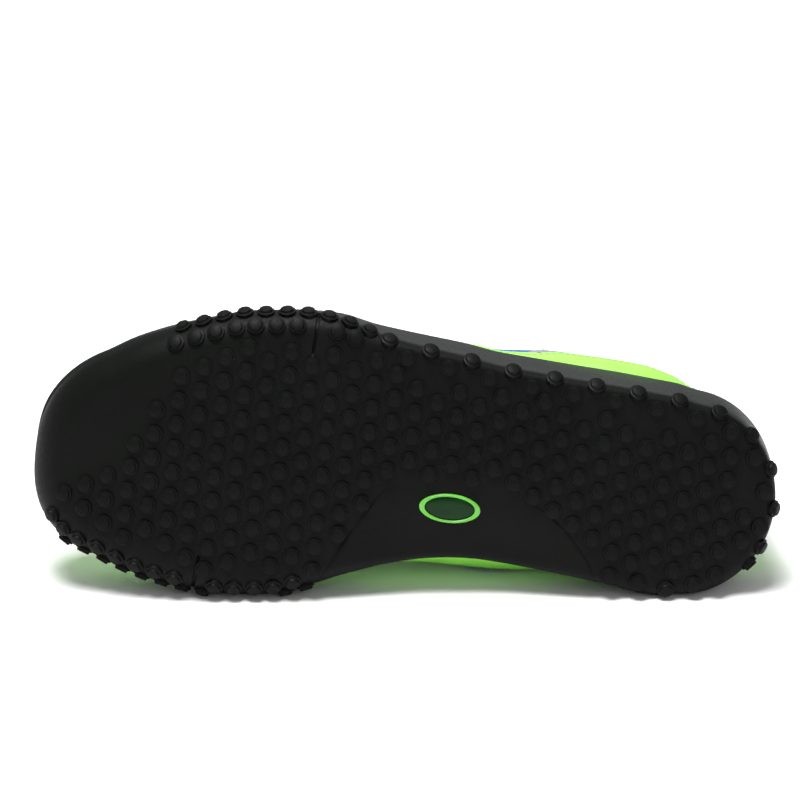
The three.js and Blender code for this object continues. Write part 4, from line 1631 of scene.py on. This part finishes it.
    def build_eyelets(self) -> None:
        """Ten ringed holes, five at each side of the throat."""
        model = Modeller("eyelets")
        ring = ((2.5, 0.6), (2.5, 1.1), (2.3, 1.35), (1.8, 1.35), (1.55, 1.15), (1.5, 0.5), (0.001, 0.5))
        for side in Side:
            for row in range(LACE_ROWS):
                turn = side.value * eyelet_turn(row)
                centre, out = FORM.upper(turn, THROAT_UP), FORM.upper_normal(turn, THROAT_UP)
                model.grid(lathe(ring, 20) @ axes_about(out, (0.0, 1.0, 0.3)) + centre)
        piece = model.finish()
        piece.data.materials.append(EYELET_PLASTIC.make())

    def build_seams(self) -> None:
        """Rows of stitches along the edges of the overlays."""
        model = Modeller("stitches")
        full = around(400)
        throat = np.linspace(0.42 * HALF_TURN, 1.58 * HALF_TURN, 300)
        collar = np.linspace(-0.36, 0.36, 200) * HALF_TURN
        Seam(full, self.band_top(full) - 0.035, self.band(full) - 0.08).add(model)
        rise = np.linspace(0.3, 0.76, 80)
        for side in Side:
            for column in (0.07, 0.93):
                Seam(side.value * self.saddle_turn(rise, column), rise, 0.5).add(model)
            Seam(side.value * (self.quarter_end(rise - 0.08) - 0.02), rise - 0.08, 0.34).add(model)
        for inset in (0.03, 0.2):
            Seam(throat, self.eyestay_edge(throat) + inset, 0.9).add(model)
        Seam(collar, self.collar_dip(collar) - 0.015, 0.28).add(model)
        piece = model.finish()
        piece.data.materials.append(THREAD.make())

    def build(self) -> None:
        """Builds the upper's pieces."""
        self.build_shell()
        self.build_overlays()
        self.build_eyelets()
        self.build_seams()


def chart(turns: Points, heights: list[float]) -> Points:
    """A UV map with the turn along and the share of the height over it."""
    return np.array([[(turn / (2 * HALF_TURN), height) for turn in turns] for height in heights])


def eyelet_turn(row: int) -> float:
    """The turn at which a row of eyelets lies, counted from the collar."""
    return HALF_TURN * (THROAT_FIRST + (THROAT_LAST - THROAT_FIRST) * row / (LACE_ROWS - 1))


def spline(bends: Points, count: int) -> Points:
    """Evenly spaced points of a smooth line.

    Args:
        bends: The points that it goes through.
        count: How many points it gets.

    Returns:
        Its points.
    """
    ends = np.concatenate(([2 * bends[0] - bends[1]], bends, [2 * bends[-1] - bends[-2]]))
    knots = np.concatenate(([0.0], np.cumsum(np.linalg.norm(np.diff(ends, axis=0), axis=-1) ** 0.5)))
    fine = []
    for i in range(1, len(ends) - 2):
        t = np.linspace(knots[i], knots[i + 1], 24, endpoint=False)[:, None]
        k, p = knots[i - 1 : i + 3], ends[i - 1 : i + 3]
        a = [(p[j] * (k[j + 1] - t) + p[j + 1] * (t - k[j])) / (k[j + 1] - k[j]) for j in range(3)]
        b = [(a[j] * (k[j + 2] - t) + a[j + 1] * (t - k[j])) / (k[j + 2] - k[j]) for j in range(2)]
        fine.append((b[0] * (k[2] - t) + b[1] * (t - k[1])) / (k[2] - k[1]))
    line = np.concatenate((*fine, bends[-1:]))
    run = distances(line)
    places = np.linspace(0, run[-1], count)
    return np.stack([np.interp(places, run, line[:, i]) for i in range(3)], axis=-1)


@dataclass
class Closure:
    """The tongue in the throat and the laces over it."""

    tongue_first: float = 0.4
    tongue_last: float = 0.9
    tongue_thickness: float = 3.0
    lace_width: float = 6.0
    lace_thickness: float = 1.4
    band_step: float = 0.8
    lace_points: int = 44
    rib_points: int = 41
    crown_rear: float = 0.34
    crown_front: float = 0.15

    def tongue_rib(self, share: float, reach: float, back: float, up: float) -> tuple[Points, Points]:
        """A line across the tongue's face.

        Args:
            share: How far it is along the throat.
            reach: How far it goes to each side, where 1 is the topline.
            back: How far it is moved towards the heel, as a share of the length.
            up: How far it is moved up, as a share of the instep height.

        Returns:
            Its points, and the direction out of the tongue at each.
        """
        first, last = turn_of(self.tongue_first), self.tongue_last * HALF_TURN
        turn = first + (last - first) * share
        crowning = self.crown_rear + (self.crown_front - self.crown_rear) * share**0.5
        left, right = FORM.topline(np.array(turn)), FORM.topline(np.array(2 * HALF_TURN - turn))
        middle, half = (left + right) / 2, np.linalg.norm(left - right) / 2
        v = (np.linspace(-1, 1, self.rib_points) * reach)[:, None]
        slope = 3 * crowning * v * np.abs(v)
        out = unit(np.concatenate((np.zeros_like(v), slope, np.ones_like(v)), axis=-1))
        points = middle + (left - middle) * v
        points[:, 2:] += crowning * half * (1 - np.abs(v) ** 3)
        points -= out * (FORM.upper_wall + 6 * CLEARANCE)
        return points + (-back * FORM.length, 0.0, up * FORM.instep_height), out

    def build_tongue(self) -> bpy.types.Object:
        """The padded tongue with its bound edge and two soft channels.

        Returns:
            The new piece.
        """
        ribs = [(0.0, 1.0, 0.074, 0.165), (0.0, 1.0, 0.053, 0.1), (0.0, 1.0, 0.028, 0.045)]
        ribs += [(i / 8, 1.25, 0.0, 0.0) for i in range(9)]
        made = [self.tongue_rib(*rib) for rib in ribs]
        along = np.linspace(0, len(ribs) - 1, 90)

        def mesh(part: int) -> Points:
            """Spreads one part of the ribs evenly along the tongue.

            Args:
                part: 0 for the ribs' points and 1 for their directions.

            Returns:
                Rows along the tongue.
            """
            spread = np.zeros((len(along), self.rib_points, 3))
            for column in range(self.rib_points):
                for i in range(3):
                    values = [rib[part][column, i] for rib in made]
                    spread[:, column, i] = np.interp(along, range(len(ribs)), values)
            return spread

        face, out = mesh(0), unit(mesh(1))
        for _ in range(3):
            face[1:-1] = (face[:-2] + 2 * face[1:-1] + face[2:]) / 4
        across = np.linspace(-1, 1, self.rib_points)[None, :]
        ends = np.minimum(round_end(along, 0.5), round_end(len(ribs) - 1 - along, 0.5))[:, None]
        corner = 1 - 0.3 * (1 - round_end(along, 1.1))[:, None, None]
        core = face[:, [self.rib_points // 2]]
        face = core + (face - core) * corner
        padding = ends * round_end(1 - np.abs(across), 0.16)
        channels = 0.35 * np.exp(-(((np.abs(across) - 0.42) / 0.05) ** 2))
        channels = channels * smoothstep(along, 0.5, 1.2)[:, None]
        rim = 0.5 * np.exp(-(((np.abs(across) - 0.93) / 0.04) ** 2))
        half = self.tongue_thickness / 2
        middle = face - out * half
        front = middle + out * ((half - channels + rim - 0.2) * padding)[..., None]
        rear = middle - out * (half * padding)[..., None]
        model = Modeller("tongue_pad")
        model.grid(np.concatenate((front, rear[:, ::-1][:, 1:]), axis=1))
        piece = model.finish()
        piece.data.materials.append(TONGUE_MESH.make())
        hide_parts("tongue")
        return piece

    def lace_path(self, start: float, end: float, raised: float) -> Points:
        """The middle line of a lace.

        Args:
            start: The turn of the lateral eyelet that it starts at.
            end: The turn of the eyelet that it ends at, counted on the lateral side too.
            raised: How much higher it lies over the throat than the lace under it.

        Returns:
            Its points.
        """
        seat = self.band_step + 2 * CLEARANCE + self.lace_thickness / 2

        def bend(first: float, second: float, side: Side, share: float) -> Points:
            """One bend of the lace over the edge of the throat.

            Args:
                first: The turn of its own eyelet.
                second: The turn of the other eyelet.
                side: The side that it is on.
                share: Its share of the way from the eyelet to the edge.

            Returns:
                The bend.
            """
            turn = side.value * (first + (second - first) * 0.2 * share)
            return FORM.upper_off(turn, THROAT_UP + (1 - THROAT_UP) * share, seat + share * CLEARANCE)

        rising = [bend(start, end, Side.LATERAL, share) for share in (0, 0.5, 1)]
        falling = [bend(end, start, Side.MEDIAL, share) for share in (1, 0.5, 0)]
        top = (rising[2] + falling[0]) / 2
        top[2] += 0.1 * np.linalg.norm(rising[2] - falling[0]) + raised
        first = FORM.upper_off(start, THROAT_UP, 0.6)
        last = FORM.upper_off(-end, THROAT_UP, 0.6)
        first = first * 0.999 + rising[0] * 0.001
        return spline(np.array([first, *rising, top, *falling, last]), self.lace_points)

    def build_laces(self) -> bpy.types.Object:
        """Flat crossings from eyelet to eyelet, each with its own woven chart.

        Returns:
            The new piece.
        """
        model = Modeller("laces_flat")
        rows = [eyelet_turn(row) for row in range(LACE_ROWS)]
        arms = []
        for low, high in zip(rows, rows[1:]):
            arms += [(low, high, 0.0), (high, low, 0.7 * self.lace_thickness)]
        arms.append((rows[-1], rows[-1], 0.0))
        run = unit((FORM.topline(np.array(rows[-1])) - FORM.topline(np.array(rows[0]))) * (1, 0, 1))
        corner = np.linspace(0, 2 * HALF_TURN, 13)
        flat = np.sign(np.cos(corner)) * np.abs(np.cos(corner)) ** 0.6
        thick = np.sign(np.sin(corner)) * np.abs(np.sin(corner)) ** 0.8 * self.lace_thickness / 2
        steps = np.arange(self.lace_points)
        to_end = np.minimum(steps, steps[::-1]) / (self.lace_points - 1)
        narrow = 1 - 0.45 * (1 - round_end(to_end, 0.12))
        width = (self.lace_width / 2 * narrow)[:, None, None]
        for start, end, raised in arms:
            line = self.lace_path(start, end, raised)
            along = unit(np.gradient(line, axis=0))
            side = unit(run - along * np.sum(along * run, axis=-1, keepdims=True))
            up = np.cross(side, along)
            wide = side[:, None] * width * flat[None, :, None]
            model.grid(line[:, None] + wide + up[:, None] * thick[None, :, None])
        piece = model.finish()
        piece.data.materials.append(LACE_CORD.make())
        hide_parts("laces")
        return piece

    def build(self) -> None:
        """Builds tongue and laces."""
        self.build_tongue()
        self.build_laces()


@dataclass(frozen=True)
class Lamp:
    """A soft square lamp that looks at the shoe."""

    name: str
    place: tuple[float, float, float]
    size: float
    power: float
    target: tuple[float, float, float] = (0.0, 0.0, 0.04)

    def hang(self) -> None:
        """Adds the lamp to the scene."""
        lamp = bpy.data.lights.new(self.name, "AREA")
        lamp.size = self.size
        lamp.energy = self.power
        item = bpy.data.objects.new(self.name, lamp)
        item.location = self.place
        way = Vector(self.target) - Vector(self.place)
        item.rotation_euler = way.to_track_quat("-Z", "Y").to_euler()
        bpy.context.scene.collection.objects.link(item)


@dataclass(frozen=True)
class Studio:
    """Pale floor, soft light and the camera at the photograph's angle."""

    elevation: float = 22.3
    azimuth: float = 0.0
    distance: float = 1.5
    lens: float = 168.6
    aim: tuple[float, float, float] = (0.0, 0.0, 0.05)
    shift: tuple[float, float] = (-0.0056, 0.0465)
    paint: tuple[float, float, float] = (0.93, 0.93, 0.93)
    surroundings: float = 0.34
    lamps: tuple[Lamp, ...] = (
        Lamp("key", (-0.2, -0.2, 1.5), 0.7, 36),
        Lamp("fill", (0.8, -1.3, 0.9), 1.0, 3),
        Lamp("back", (0.2, 1.2, 1.1), 0.9, 3),
    )

    def build_camera(self) -> None:
        """Stands the camera."""
        lens = bpy.data.cameras.new("camera")
        lens.lens = self.lens
        lens.sensor_fit = "HORIZONTAL"
        lens.sensor_width = 36.0
        lens.shift_x, lens.shift_y = self.shift
        lens.clip_start = 0.05
        camera = bpy.data.objects.new("camera", lens)
        tilt, turn = math.radians(self.elevation), math.radians(self.azimuth)
        level = Vector((-math.sin(turn), -math.cos(turn), 0.0)) * math.cos(tilt)
        way = level + Vector((0.0, 0.0, math.sin(tilt)))
        camera.location = Vector(self.aim) + way * self.distance
        camera.rotation_euler = (-way).to_track_quat("-Z", "Y").to_euler()
        bpy.context.scene.collection.objects.link(camera)
        bpy.context.scene.camera = camera

    def build_floor(self) -> None:
        """Lays the pale floor."""
        bm = bmesh.new()
        bmesh.ops.create_grid(bm, x_segments=1, y_segments=1, size=12)
        mesh = bpy.data.meshes.new("floor")
        bm.to_mesh(mesh)
        bm.free()
        floor = bpy.data.objects.new("floor", mesh)
        bpy.context.scene.collection.objects.link(floor)
        shader = Shader("floor_paint")
        shader.bsdf.inputs["Base Color"].default_value = (*self.paint, 1)
        shader.bsdf.inputs["Roughness"].default_value = 0.9
        mesh.materials.append(shader.material)

    def build_lights(self) -> None:
        """Hangs the lamps and sets the pale surroundings."""
        world = bpy.data.worlds.new("studio")
        world.use_nodes = True
        background = world.node_tree.nodes["Background"]
        background.inputs["Color"].default_value = (1, 1, 1, 1)
        background.inputs["Strength"].default_value = self.surroundings
        bpy.context.scene.world = world
        for lamp in self.lamps:
            lamp.hang()

    def build(self) -> None:
        """Builds the studio."""
        self.build_camera()
        self.build_floor()
        self.build_lights()
        bpy.context.scene.view_settings.view_transform = "Standard"


def main() -> None:
    """Builds the studio and the shoe, piece by piece."""
    logging.basicConfig(level=logging.INFO, format="%(name)s %(message)s")
    Studio().build()
    Sole().build()
    Upper().build()
    Closure().build()


if __name__ == "__main__":
    main()
